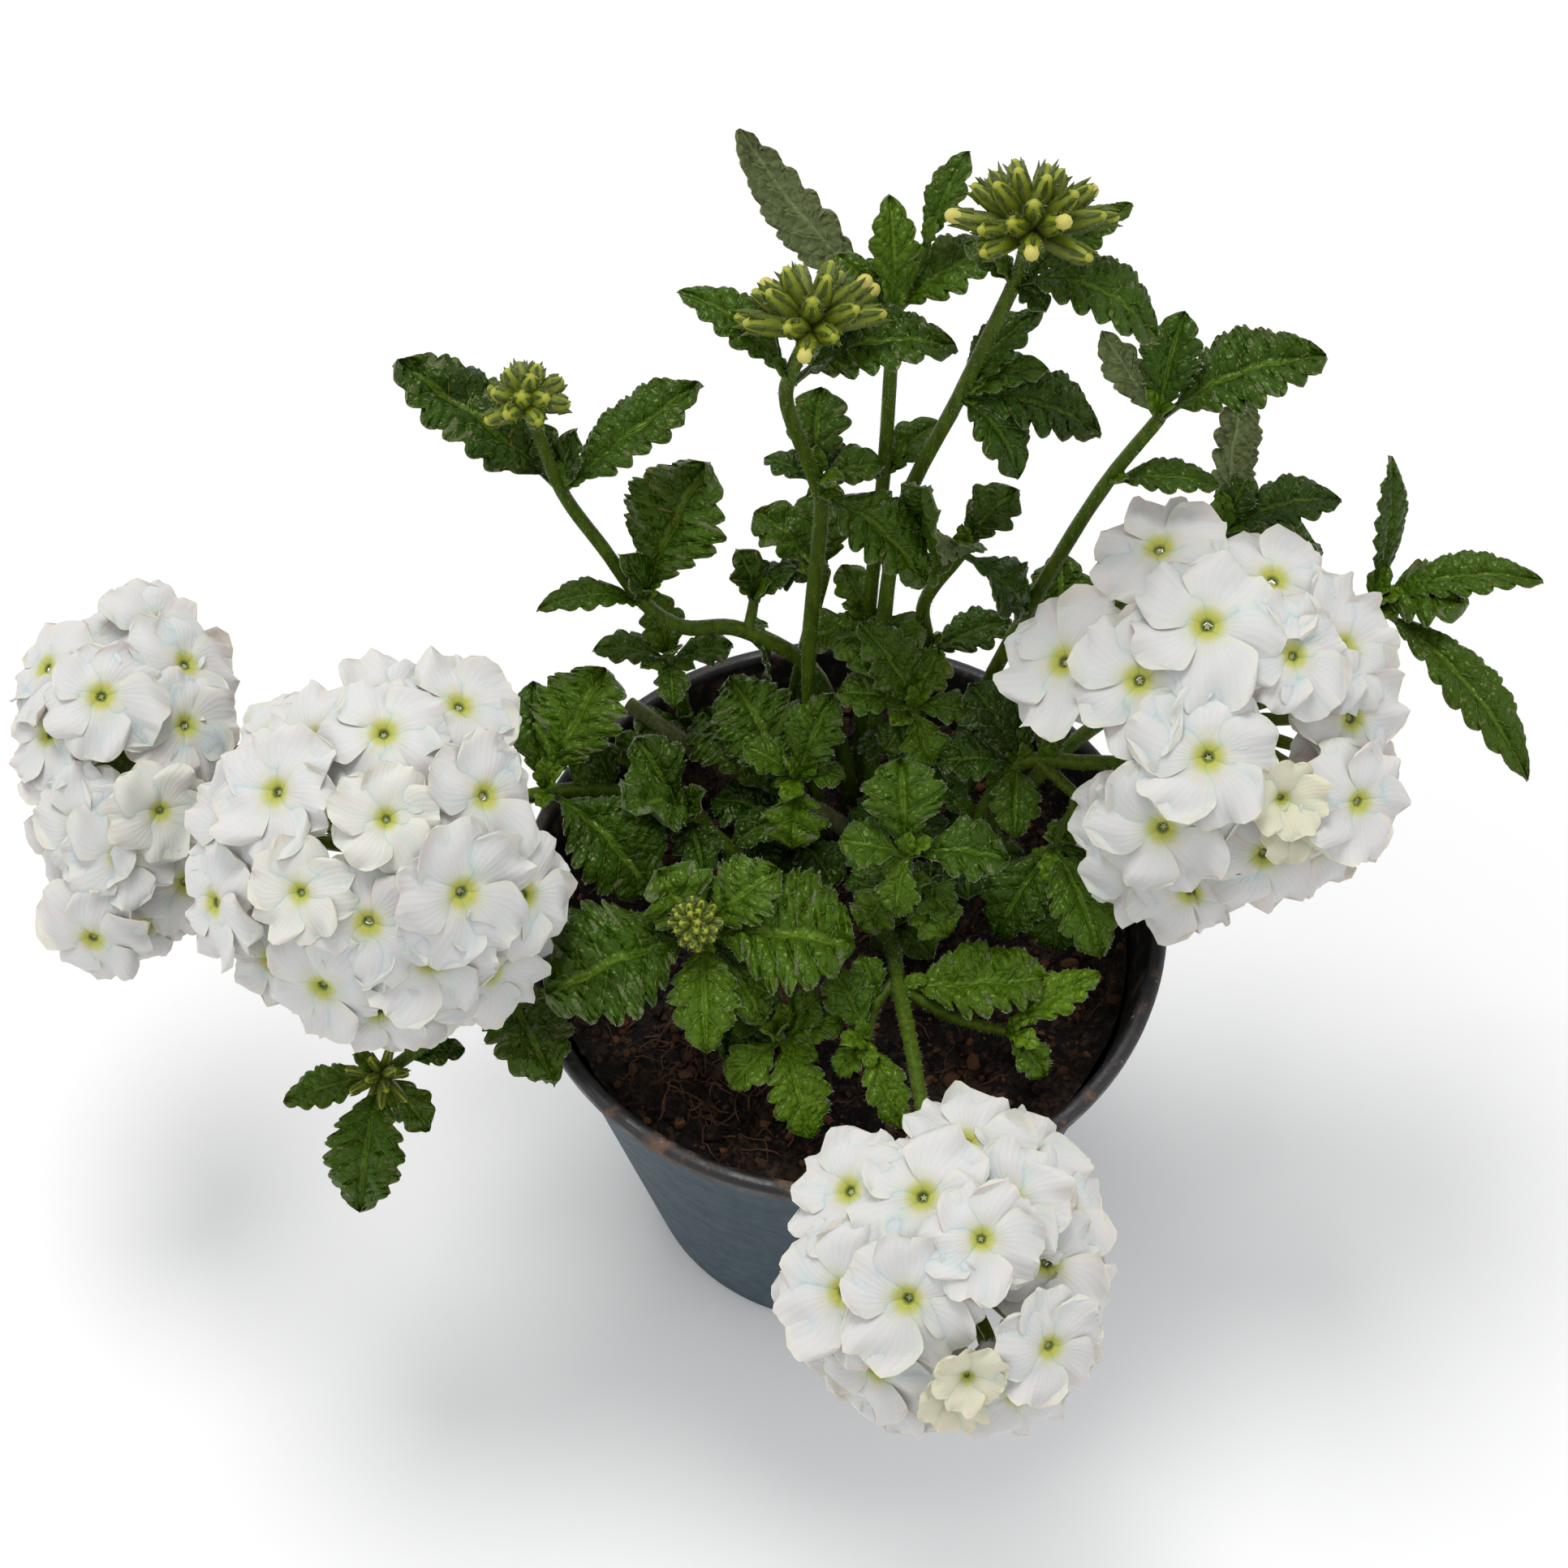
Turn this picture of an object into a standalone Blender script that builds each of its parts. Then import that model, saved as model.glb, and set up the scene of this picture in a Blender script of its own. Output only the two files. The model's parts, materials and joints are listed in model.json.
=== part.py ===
"""White garden verbena in a round nursery pot.

The pot stands at the origin with +Z up, and the plant's front faces -Y. Sizes here are millimetres, and MM
turns them into metres. Each leafy stem, flower head and bud head is one fused body with its own plan.
"""

import math

import bmesh
import bpy
from mathutils import Matrix, Vector, noise

MM = 0.001
COLLECTION = "verbena"
SEAT_GAP = 0.3

POT_HEIGHT = 100.0
RIM_RADIUS = 60.0
RIM_OVERHANG = 2.6
RIM_BAND = 4.0
RIM_ROUND = 0.8
WALL = 1.3
BASE_RADIUS = 38.7
BASE_ROUND = 1.5
FLOOR = 2.6
POT_STEPS = 28
CHANNELS = 6
CHANNEL_TURN = 46.0
CHANNEL_WIDTH = 7.0
CHANNEL_DEPTH = 1.1
CHANNEL_START = 20.0
DRAIN_RADIUS = 3.0
DRAIN_RING = 29.0

SOIL_TOP = 87.0
SOIL_SLOPE = 0.012
SOIL_STEPS = 20
SOIL_RINGS = 4
LUMP_HEIGHT = 1.8
LUMP_SIZE = 14.0
CRUMB_HEIGHT = 0.8
CRUMB_SIZE = 6.0
HOLE_ROOM = 0.7
HOLE_SIDES = 5
HOLE_REACH = 8.0

STEM_RADIUS = 1.6
TIP_RADIUS = 1.25
OLD_STEM_RADIUS = 2.1
ROUTE_STEPS = 2
LEAST_TURN = 12.0

BLADE_THICKNESS = 0.7
PETIOLE_THICKNESS = 1.3
PETIOLE_WIDTH = 1.5
PETIOLE_SHARE = 0.2
TOOTH_AT = 0.66
TIP_TEETH = 0.6
NOTCH = 0.76
LARGE_LEAF = 23.0

CORE_RADIUS = 8.0
CORE_SINK = 0.6
LEVEL_STEP = 1.15
TOP_LEVEL = 2
LIMB_THICKNESS = 0.7
TUBE_RADIUS = 1.1
TUBE_FLARE = 1.5
TUBE_SIDES = 3
LOBE_TURN = 23.0
VALLEY_REACH = 0.5
LOBE_REACH = 0.97
NOTCH_REACH = 0.88
UNDER_REACH = 0.9
FLORET_ROOM = 0.97
FLORET_SPIN = 1.7
PETALS = 5
BUD_SIDES = 3
BUD_ROOT = 1.0
BUD_BELLY = 1.6
BUD_SPREAD = 100.0
BUD_SPIN = 0.9
GOLDEN_TURN = 137.508
SHARP_ANGLE = 35.0

# The head plans are drawn as seen from this height above the front, in degrees.
EYE_ELEVATION = 56.6
EYE_RIGHT = Vector((1.0, 0.0, 0.0))
EYE_BACK = Vector((0.0, -math.cos(math.radians(EYE_ELEVATION)), math.sin(math.radians(EYE_ELEVATION))))
EYE_UP = EYE_BACK.cross(EYE_RIGHT)
EYE_AXES = Matrix((EYE_RIGHT, EYE_UP, EYE_BACK))

GREEN = (0.075, 0.17, 0.035)
BUD_GREEN = (0.19, 0.27, 0.05)
WOOD_GREEN = (0.12, 0.15, 0.06)
PETAL_WHITE = (0.86, 0.87, 0.88)
POT_GREY = (0.05, 0.09, 0.115)
SOIL_BROWN = (0.045, 0.025, 0.016)


def leaf(at, tip, width=0.5, arch=0.12, roll=0.0, stem=0):
    """A leaf's plan. Width and arch are shares of its length, and the roll is in degrees."""
    return {"at": at, "tip": Vector(tip), "width": width, "arch": arch, "roll": roll, "stem": stem}


# Each shoot has its stems' points from the foot in the soil, and its leaves.
SHOOTS = {
    "shoot_top_bud": {
        "stems": [[(6, 24, 76), (6, 25, 92), (7, 36, 121), (10, 46, 155), (19, 47, 187), (27, 50, 212)]],
        "to": "bud_top",
        "leaves": [
            leaf(5, (50, 40, 209), 0.48, 0.28),
            leaf(5, (46, 58, 222), 0.5, 0.04),
            leaf(5, (32, 44, 212), 0.6),
            leaf(5, (19, 55, 216), 0.55),
            leaf(4, (34, 48, 193), 0.5),
            leaf(4, (33, 56, 199), 0.5),
            leaf(4, (29, 35, 180), 0.5, 0.25),
            leaf(4, (43, 41, 184), 0.5),
        ],
    },
    "shoot_middle_bud": {
        "stems": [
            [
                (-4, 23, 76),
                (-4, 24, 92),
                (-6, 36, 125),
                (-4, 44, 158),
                (-5, 45, 167),
                (-10, 43, 190),
                (-9, 43, 199),
            ]
        ],
        "to": "bud_middle",
        "leaves": [
            leaf(5.6, (-28, 52, 208), 0.42),
            leaf(5.6, (18, 44, 203), 0.45, 0.2),
            leaf(4, (-14, 50, 167), 0.5),
            leaf(4, (-4, 58, 177), 0.6),
            leaf(4, (7, 46, 170), 0.6),
            leaf(3.7, (14, 30, 157), 0.5, 0.2),
        ],
    },
    "shoot_back": {
        "stems": [
            [(4, 34, 76), (4, 35, 92), (5, 44, 128), (7, 50, 162), (8, 57, 197)],
            [(8, 57, 197), (13, 62, 208)],
        ],
        "leaves": [
            leaf(4, (-18, 74, 223), 0.36, 0.05, 180),
            leaf(4, (7, 69, 213), 0.5),
            leaf(1, (20, 71, 221), 0.5, stem=1),
            leaf(4, (27, 63, 206), 0.5),
            leaf(3.9, (-2, 62, 206), 0.45),
        ],
    },
    "shoot_upper_left": {
        "stems": [
            [
                (2, 30, 76),
                (2, 31, 92),
                (-4, 40, 115),
                (-18, 43, 126),
                (-29, 43, 127),
                (-36, 44, 133),
                (-43, 48, 144),
                (-50, 51, 157),
            ],
            [(-17, 43, 126), (-16, 47, 130)],
        ],
        "to": "bud_left",
        "leaves": [
            leaf(7, (-79, 66, 174), 0.4, 0.08),
            leaf(7, (-25, 63, 172), 0.38, 0.05),
            leaf(7, (-47, 56, 168), 0.45),
            leaf(7, (-54, 60, 165), 0.45),
            leaf(5, (-24, 60, 154), 0.62, 0.1),
            leaf(5, (-55, 38, 139), 0.3, 0.15),
            leaf(5, (-40, 46, 145), 0.5),
            leaf(1, (-19, 51, 140), 0.6, stem=1),
            leaf(1, (-8, 48, 138), 0.5, stem=1),
            leaf(3, (-14, 43, 111), 0.4),
        ],
    },
    "shoot_side_left": {
        "stems": [[(-29, 41, 76), (-29, 41, 92), (-30, 43, 104), (-32, 43, 116)]],
        "leaves": [
            leaf(3, (-35, 51, 128), 0.5),
            leaf(3, (-46, 42, 121), 0.45),
            leaf(3, (-20, 46, 117), 0.6),
            leaf(3, (-31, 32, 117), 0.5),
        ],
    },
    "old_cut_stem": {
        "stems": [[(8, 12, 76), (7, 14, 91), (0, 19, 97), (-12, 25, 100), (-27, 32, 103), (-40, 41, 105)]],
        "radius": OLD_STEM_RADIUS,
        "leaves": [],
    },
    "stem_middle_left": {
        "stems": [
            [(-16, 12, 76), (-17, 12, 92), (-28, 17, 102), (-42, 20, 107), (-54, 17, 111), (-66, 9, 117)],
        ],
        "to": "head_middle_left",
        "leaves": [
            leaf(2, (-40, 10, 118), 0.6),
            leaf(2, (-25, 3, 104), 0.55),
            leaf(4, (-43, 37, 122), 0.62),
            leaf(4, (-35, -1, 104), 0.62, 0.2),
            leaf(4, (-57, 37, 118), 0.45),
        ],
    },
    "stem_far_left": {
        "stems": [
            [
                (-23, 19, 76),
                (-24, 20, 92),
                (-37, 28, 103),
                (-53, 33, 106),
                (-74, 37, 105),
                (-98, 43, 94),
                (-117, 40, 90),
            ]
        ],
        "to": "head_far_left",
        "leaves": [leaf(4, (-68, 21, 101), 0.5), leaf(4, (-84, 22, 98), 0.5)],
    },
    "stem_drooping": {
        "stems": [
            [
                (-20, 0, 76),
                (-21, 0, 92),
                (-34, -5, 103),
                (-50, -12, 106),
                (-62, -16, 98),
                (-74, -23, 91),
                (-84, -27, 84),
            ]
        ],
        "leaves": [
            leaf(6, (-88, -48, 70), 0.5, 0.2),
            leaf(6, (-102, -32, 82), 0.4, 0.05),
            leaf(6, (-76, -34, 75), 0.5),
            leaf(5.6, (-69, -23, 86), 0.5),
            leaf(4, (-51, -40, 104), 0.5, 0.1),
        ],
    },
    "stem_front": {
        "stems": [
            [(7, -1, 76), (7, -2, 92), (9, -10, 102), (10, -22, 107), (12, -37, 110), (14, -52, 110)],
            [(10, -22, 107), (19, -26, 104), (29, -28, 102)],
            [(10, -19, 106), (6, -24, 105), (4, -31, 104)],
        ],
        "to": "head_front",
        "leaves": [
            leaf(2, (46, -19, 107), 0.36, 0.05, stem=1),
            leaf(2, (36, -35, 98), 0.6, stem=1),
            leaf(3, (37, -20, 106), 0.5, 0.05),
            leaf(2, (10, -46, 99), 0.5, stem=2),
            leaf(2, (-2, -20, 110), 0.5, stem=2),
        ],
    },
    "stem_right": {
        "stems": [
            [(18, 6, 76), (18, 7, 92), (25, 13, 108), (32, 18, 119), (44, 15, 124), (51, 14, 126)],
            [(36, 17, 121), (42, 10, 121), (38, 3, 115)],
        ],
        "to": "head_right",
        "leaves": [
            leaf(3, (23, 29, 129), 0.6),
            leaf(3, (17, 17, 121), 0.6),
            leaf(3, (31, 4, 116), 0.55),
            leaf(2, (28, -9, 103), 0.55, stem=1),
            leaf(2, (46, -17, 109), 0.5, stem=1),
            leaf(2, (50, 1, 108), 0.5, stem=1),
        ],
    },
    "shoot_right": {
        "stems": [[(15, 22, 76), (16, 23, 92), (26, 34, 118), (38, 42, 148), (46, 46, 166), (54, 50, 178)]],
        "leaves": [
            leaf(5, (44, 62, 187), 0.5, 0.05, 170),
            leaf(5, (58, 63, 191), 0.5),
            leaf(5, (82, 55, 188), 0.5),
            leaf(4, (65, 43, 168), 0.35),
        ],
    },
    "shoot_behind_right": {
        "stems": [[(21, 26, 76), (22, 27, 92), (40, 40, 116), (56, 48, 136), (68, 48, 149)]],
        "leaves": [
            leaf(4, (71, 67, 167), 0.45, 0.05, 170),
            leaf(4, (89, 51, 154), 0.45),
            leaf(4, (73, 57, 155), 0.5),
            leaf(3.6, (88, 55, 134), 0.5),
            leaf(2, (41, 58, 130), 0.55),
        ],
    },
    "shoot_far_right": {
        "stems": [
            [
                (25, 16, 76),
                (26, 17, 92),
                (42, 31, 104),
                (60, 43, 107),
                (80, 49, 114),
                (94, 47, 127),
                (96, 41, 137),
            ]
        ],
        "leaves": [
            leaf(6, (98, 59, 157), 0.35, 0.05, 80),
            leaf(6, (125, 39, 146), 0.4),
            leaf(6, (112, 37, 143), 0.8),
            leaf(6, (122, 9, 127), 0.36, 0.15),
        ],
    },
    "shoot_young_bud": {
        "stems": [[(-12, -8, 76), (-13, -8, 92), (-20, -13, 106), (-25, -17, 116)]],
        "to": "bud_young",
        "leaves": [
            leaf(3, (-52, -30, 117), 0.6, 0.15),
            leaf(3, (-33, -9, 126), 0.7),
            leaf(3, (-11, -9, 126), 0.6),
            leaf(3, (2, -21, 120), 0.65, 0.12),
            leaf(3, (-24, -38, 112), 0.55, 0.12),
            leaf(2.6, (-14, -32, 112), 0.5),
        ],
    },
    "shoot_low_front": {
        "stems": [[(-8, -20, 76), (-8, -21, 92), (-11, -30, 103)]],
        "leaves": [
            leaf(2, (-20, -39, 101), 0.6),
            leaf(2, (0, -28, 106), 0.6),
            leaf(2, (-6, -47, 97), 0.7),
            leaf(1.5, (-23, -24, 100), 0.5),
        ],
    },
    "shoot_centre_front": {
        "stems": [[(10, 2, 76), (10, 1, 92), (11, -3, 112), (11, -6, 126)]],
        "leaves": [
            leaf(3, (10, 8, 136), 0.75),
            leaf(3, (-1, -5, 129), 0.7),
            leaf(3, (29, -8, 127), 0.62),
            leaf(3, (9, -15, 120), 0.6),
            leaf(2, (20, -10, 112), 0.6),
            leaf(2, (1, 3, 112), 0.6),
        ],
    },
    "shoot_centre": {
        "stems": [[(-8, 16, 76), (-8, 17, 92), (-8, 20, 111)]],
        "leaves": [
            leaf(2, (-1, 31, 123), 0.55),
            leaf(2, (-18, 24, 116), 0.6),
            leaf(2, (1, 19, 113), 0.6),
            leaf(2, (-9, 8, 106), 0.8),
            leaf(1.5, (-20, 12, 101), 0.5),
        ],
    },
    "shoot_crown": {
        "stems": [[(12, 22, 76), (12, 23, 92), (13, 26, 112), (13, 27, 124)]],
        "leaves": [
            leaf(3, (-1, 28, 127), 0.62),
            leaf(3, (18, 35, 131), 0.7),
            leaf(3, (24, 25, 124), 0.6),
            leaf(3, (16, 18, 118), 0.7),
            leaf(3, (3, 36, 138), 0.5),
        ],
    },
    "shoot_crown_back": {
        "stems": [[(14, 34, 76), (14, 35, 92), (16, 42, 120), (15, 42, 136), (21, 41, 152)]],
        "leaves": [
            leaf(4, (14, 36, 177), 0.5, 0.08, 170),
            leaf(4, (31, 48, 161), 0.6),
            leaf(4, (33, 37, 139), 0.6),
            leaf(4, (12, 37, 147), 0.5),
            leaf(2, (32, 48, 122), 0.5),
        ],
    },
    "shoot_crown_left": {
        "stems": [[(-10, 41, 76), (-10, 42, 92), (-7, 47, 112), (-3, 49, 136)]],
        "leaves": [leaf(3, (-12, 50, 132), 0.7), leaf(3, (-16, 58, 142), 0.6), leaf(3, (-3, 60, 150), 0.55)],
    },
}

# A floret is (right, up, petal length) across its head as the eye above the front sees it. Florets marked
# behind sit on the head's far half. The size is how far the head's round reaches right, up and to the eye.
HEADS = {
    "head_front": {
        "centre": (18, -73, 103),
        "size": (29, 29, 27),
        "florets": [
            (4, 2, 9), (-4, 10, 12), (10, 10, 12), (-16, 12, 12), (17, -1, 12), (-17, -5, 12), (-6, -7, 11),
            (14, -12, 9), (-13, -18, 12), (0, -23, 11), (11, -19, 11), (3, 20, 12), (18, 20, 11), (24, 9, 11),
            (-29, -10, 11), (-24, -17, 11), (26, -9, 11),
        ],
        "behind": [],
    },
    "head_middle_left": {
        "centre": (-79, -6, 126),
        "size": (31, 33, 27),
        "florets": [
            (-1, 6, 9), (-14, 18, 12), (-2, 18, 12), (-20, 10, 12), (14, 10, 12), (-16, -6, 10),
            (-6, -12, 12), (9, -6, 12), (21, -6, 12), (5, -18, 12), (-14, -24, 12), (-2, 29, 12),
            (9, 25, 12), (-27, 24, 11), (-31, -8, 11), (-30, 4, 11), (-25, -23, 11), (-3, -31, 11),
            (23, -22, 12),
        ],
        "behind": [],
    },
    "head_far_left": {
        "centre": (-133, 26, 104),
        "size": (21, 33, 23),
        "florets": [
            (-5, 12, 12), (10, 8, 11), (11, 20, 12), (6, -6, 10), (-9, -10, 12), (-1, -14, 11), (11, -20, 12),
            (7, 32, 12), (-16, 18, 11), (-17, 8, 11), (-15, 0, 11), (-5, -28, 11), (2, -32, 11),
        ],
        "behind": [(-12, -14, 11)],
    },
    "head_right": {
        "centre": (66, 20, 130),
        "size": (34, 38, 28),
        "florets": [
            (0, 14, 13), (-8, 26, 11), (11, 22, 12), (-23, 10, 13), (-11, 6, 13), (13, 10, 10),
            (24, 13, 12), (26, 0, 12), (-1, -5, 12), (-7, -17, 13), (9, -23, 12), (22, -12, 10),
            (11, -12, 7), (-13, -32, 12), (-3, -32, 12), (20, -23, 11),
        ],
        "behind": [],
    },
}

# A bud head is a centre, the way it faces, the length of its buds and how many it has.
BUDS = {
    "bud_top": {
        "centre": (29, 49.5, 225),
        "faces": (0.1, -0.25, 1.0),
        "length": 9.0,
        "count": 20,
        "core": 3.6,
    },
    "bud_middle": {
        "centre": (-6, 44, 208),
        "faces": (0.05, -0.2, 1.0),
        "length": 9.0,
        "count": 18,
        "core": 3.4,
    },
    "bud_left": {
        "centre": (-55, 53.5, 178),
        "faces": (-0.1, -0.2, 1.0),
        "length": 5.5,
        "count": 12,
        "core": 2.8,
    },
    "bud_young": {
        "centre": (-26, -19, 124),
        "faces": (0.0, -0.4, 1.0),
        "length": 3.0,
        "count": 10,
        "core": 2.8,
    },
}


def clear_scene():
    for obj in list(bpy.data.objects):
        bpy.data.objects.remove(obj, do_unlink=True)


def new_collection(name):
    made = bpy.data.collections.new(name)
    bpy.context.scene.collection.children.link(made)
    return made


def material(name, colour, roughness):
    made = bpy.data.materials.new(name)
    made.use_nodes = True
    shader = made.node_tree.nodes["Principled BSDF"]
    shader.inputs["Base Color"].default_value = (*colour, 1.0)
    shader.inputs["Roughness"].default_value = roughness
    shader.inputs["Metallic"].default_value = 0.0
    made.diffuse_color = (*colour, 1.0)
    return made


def mesh_object(name, points, faces, home):
    """An object from points in millimetres and faces as point numbers."""
    mesh = bpy.data.meshes.new(name)
    mesh.from_pydata([Vector(p) * MM for p in points], [], faces)
    obj = bpy.data.objects.new(name, mesh)
    home.objects.link(obj)
    return obj


def evaluated_mesh(obj):
    graph = bpy.context.evaluated_depsgraph_get()
    return bpy.data.meshes.new_from_object(obj.evaluated_get(graph), depsgraph=graph)


def remove_object(obj):
    data = obj.data
    bpy.data.objects.remove(obj, do_unlink=True)
    if data.users == 0 and isinstance(data, bpy.types.Mesh):
        bpy.data.meshes.remove(data)


def turned(name, profile, steps, home):
    """A profile of (radius, height) pairs turned about Z."""
    edges = [(i, i + 1) for i in range(len(profile) - 1)]
    mesh = bpy.data.meshes.new(name)
    mesh.from_pydata([(r * MM, 0.0, z * MM) for r, z in profile], edges, [])
    obj = bpy.data.objects.new(name, mesh)
    home.objects.link(obj)
    screw = obj.modifiers.new("Turn", "SCREW")
    screw.steps = steps
    screw.render_steps = steps
    screw.use_merge_vertices = True
    screw.merge_threshold = 0.00001
    return obj


def smooth_shaded(obj):
    obj.data.shade_smooth()
    obj.data.set_sharp_from_angle(angle=math.radians(SHARP_ANGLE))


def pot_wall_radius(z):
    """The outer radius of the pot's tapering wall at a height."""
    share = z / (POT_HEIGHT - RIM_BAND)
    return BASE_RADIUS + (RIM_RADIUS - RIM_OVERHANG - BASE_RADIUS) * share


def pot_profile():
    inner_top = pot_wall_radius(POT_HEIGHT) - WALL
    band_foot = POT_HEIGHT - RIM_BAND
    return [
        (0.0, FLOOR),
        (pot_wall_radius(FLOOR) - WALL - BASE_ROUND, FLOOR),
        (pot_wall_radius(FLOOR + BASE_ROUND) - WALL, FLOOR + BASE_ROUND),
        (inner_top, POT_HEIGHT - RIM_ROUND),
        (inner_top + RIM_ROUND, POT_HEIGHT),
        (RIM_RADIUS - RIM_ROUND, POT_HEIGHT),
        (RIM_RADIUS, POT_HEIGHT - RIM_ROUND),
        (RIM_RADIUS - 0.2, band_foot + RIM_ROUND),
        (RIM_RADIUS - RIM_ROUND, band_foot),
        (pot_wall_radius(band_foot), band_foot),
        (pot_wall_radius(BASE_ROUND), BASE_ROUND),
        (BASE_RADIUS - BASE_ROUND, 0.0),
        (0.0, 0.0),
    ]


def channel_place(number):
    """The turn that carries a drain channel's own X axis out along its ray."""
    return Matrix.Rotation(math.radians(CHANNEL_TURN + 360.0 / CHANNELS * number), 4, "Z")


def channel_cutter(number, home):
    reach = BASE_RADIUS + 4.0 - CHANNEL_START
    bpy.ops.mesh.primitive_cube_add(size=1.0)
    cutter = bpy.context.object
    cutter.name = f"cut_channel_{number}"
    size = Matrix.Diagonal((reach * MM, CHANNEL_WIDTH * MM, 2 * CHANNEL_DEPTH * MM, 1.0))
    cutter.data.transform(Matrix.Translation(((CHANNEL_START + reach / 2) * MM, 0.0, 0.0)) @ size)
    cutter.matrix_world = channel_place(number)
    adopt_cutter(cutter, home)


def drain_cutter(number, home):
    bpy.ops.mesh.primitive_cylinder_add(vertices=8, radius=DRAIN_RADIUS * MM, depth=4 * FLOOR * MM)
    cutter = bpy.context.object
    cutter.name = f"cut_drain_{number}"
    cutter.data.transform(Matrix.Translation((DRAIN_RING * MM, 0.0, 0.0)))
    cutter.matrix_world = channel_place(number)
    adopt_cutter(cutter, home)


def adopt_cutter(cutter, home):
    for old in list(cutter.users_collection):
        old.objects.unlink(cutter)
    home.objects.link(cutter)
    cutter.hide_render = True
    cutter.display_type = "WIRE"


def cut_by(obj, cutters):
    cut = obj.modifiers.new("Cut", "BOOLEAN")
    cut.operation = "DIFFERENCE"
    cut.operand_type = "COLLECTION"
    cut.collection = cutters
    cut.solver = "EXACT"


def build_pot(home):
    pot = turned("pot", pot_profile(), POT_STEPS, home)
    cutters = new_collection("pot_cutters")
    for number in range(CHANNELS):
        channel_cutter(number, cutters)
        drain_cutter(number, cutters)
    cut_by(pot, cutters)
    pot.data.materials.append(material("pot_plastic", POT_GREY, 0.55))
    smooth_shaded(pot)


def soil_height(x, y):
    """The lumpy top of the soil, a little higher at the front left."""
    lumps = noise.noise(Vector((x / LUMP_SIZE, y / LUMP_SIZE, 3.7)))
    crumbs = noise.noise(Vector((x / CRUMB_SIZE, y / CRUMB_SIZE, 9.1)))
    return SOIL_TOP + LUMP_HEIGHT * lumps + CRUMB_HEIGHT * crumbs - SOIL_SLOPE * (x + y)


def soil_profile():
    edge = pot_wall_radius(SOIL_TOP) - WALL - 2.5 * SEAT_GAP
    foot = FLOOR + SEAT_GAP
    rings = [(edge * (i / SOIL_RINGS), SOIL_TOP) for i in range(SOIL_RINGS + 1)]
    return rings + [
        (pot_wall_radius(FLOOR + BASE_ROUND) - WALL - 2 * SEAT_GAP, FLOOR + BASE_ROUND + SEAT_GAP),
        (pot_wall_radius(FLOOR) - WALL - BASE_ROUND - SEAT_GAP, foot),
        (0.0, foot),
    ]


def hole_cutter(name, foot, out, radius, home):
    """A plain round hole along a stem's straight foot."""
    way = (out - foot).normalized()
    start = foot - way * HOLE_ROOM
    end = out + way * HOLE_REACH
    bpy.ops.mesh.primitive_cylinder_add(
        vertices=HOLE_SIDES, radius=(radius + HOLE_ROOM) * MM, depth=(end - start).length * MM
    )
    cutter = bpy.context.object
    cutter.name = f"cut_hole_{name}"
    turn = Vector((0.0, 0.0, 1.0)).rotation_difference(way).to_matrix().to_4x4()
    cutter.matrix_world = Matrix.Translation((start + end) / 2 * MM) @ turn
    adopt_cutter(cutter, home)


def build_soil(home):
    soil = turned("soil", soil_profile(), SOIL_STEPS, home)
    mesh = evaluated_mesh(soil)
    soil.modifiers.clear()
    soil.data = mesh
    for vertex in mesh.vertices:
        if vertex.co.z > (SOIL_TOP - 1.0) * MM:
            vertex.co.z = soil_height(vertex.co.x / MM, vertex.co.y / MM) * MM
    holes = new_collection("soil_cutters")
    for name, plan in SHOOTS.items():
        foot, out = (Vector(p) for p in plan["stems"][0][:2])
        hole_cutter(name, foot, out, plan.get("radius", STEM_RADIUS), holes)
    cut_by(soil, holes)
    soil.data.materials.append(material("soil", SOIL_BROWN, 0.95))


def smooth_route(points, steps):
    """Points on a smooth curve through the route, straight along its first stretch."""
    points = [Vector(p) for p in points]
    made = [points[0]]
    if len(points) == 2:
        return points
    for i in range(len(points) - 1):
        if i == 0:
            made.append(points[1])
            continue
        before, a, b = points[i - 1], points[i], points[i + 1]
        after = points[i + 2] if i + 2 < len(points) else b + (b - a)
        for step in range(1, steps + 1):
            t = step / steps
            made.append(
                0.5
                * (
                    2 * a
                    + (b - before) * t
                    + (2 * before - 5 * a + 4 * b - after) * t * t
                    + (3 * a - before - 3 * b + after) * t * t * t
                )
            )
    return straightened(made)


def straightened(points):
    """The points without those where the route hardly turns."""
    kept = points[:2]
    for point, after in zip(points[2:], points[3:]):
        if (point - kept[-1]).angle(after - point) > math.radians(LEAST_TURN):
            kept.append(point)
    return kept + points[-1:]


def route_point(points, at):
    """The place at a point number, with fractions between two points."""
    low = min(int(at), len(points) - 2)
    return Vector(points[low]).lerp(Vector(points[low + 1]), at - low)


def stem_object(name, points, radii, home):
    """A four-sided stem through the points as a closed mesh."""
    curve = bpy.data.curves.new(name, "CURVE")
    curve.dimensions = "3D"
    curve.bevel_depth = MM
    curve.bevel_resolution = 0
    curve.use_fill_caps = True
    spline = curve.splines.new("POLY")
    spline.points.add(len(points) - 1)
    for i, point in enumerate(points):
        share = i / (len(points) - 1)
        spline.points[i].co = (*(point * MM), 1.0)
        spline.points[i].radius = radii[0] + (radii[1] - radii[0]) * share
    guide = bpy.data.objects.new(name + "_guide", curve)
    home.objects.link(guide)
    mesh = evaluated_mesh(guide)
    work = bmesh.new()
    work.from_mesh(mesh)
    bmesh.ops.remove_doubles(work, verts=work.verts, dist=0.00001)
    bmesh.ops.recalc_face_normals(work, faces=work.faces)
    work.to_mesh(mesh)
    work.free()
    obj = bpy.data.objects.new(name, mesh)
    home.objects.link(obj)
    obj.matrix_world = guide.matrix_world
    bpy.data.objects.remove(guide, do_unlink=True)
    return obj


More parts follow.
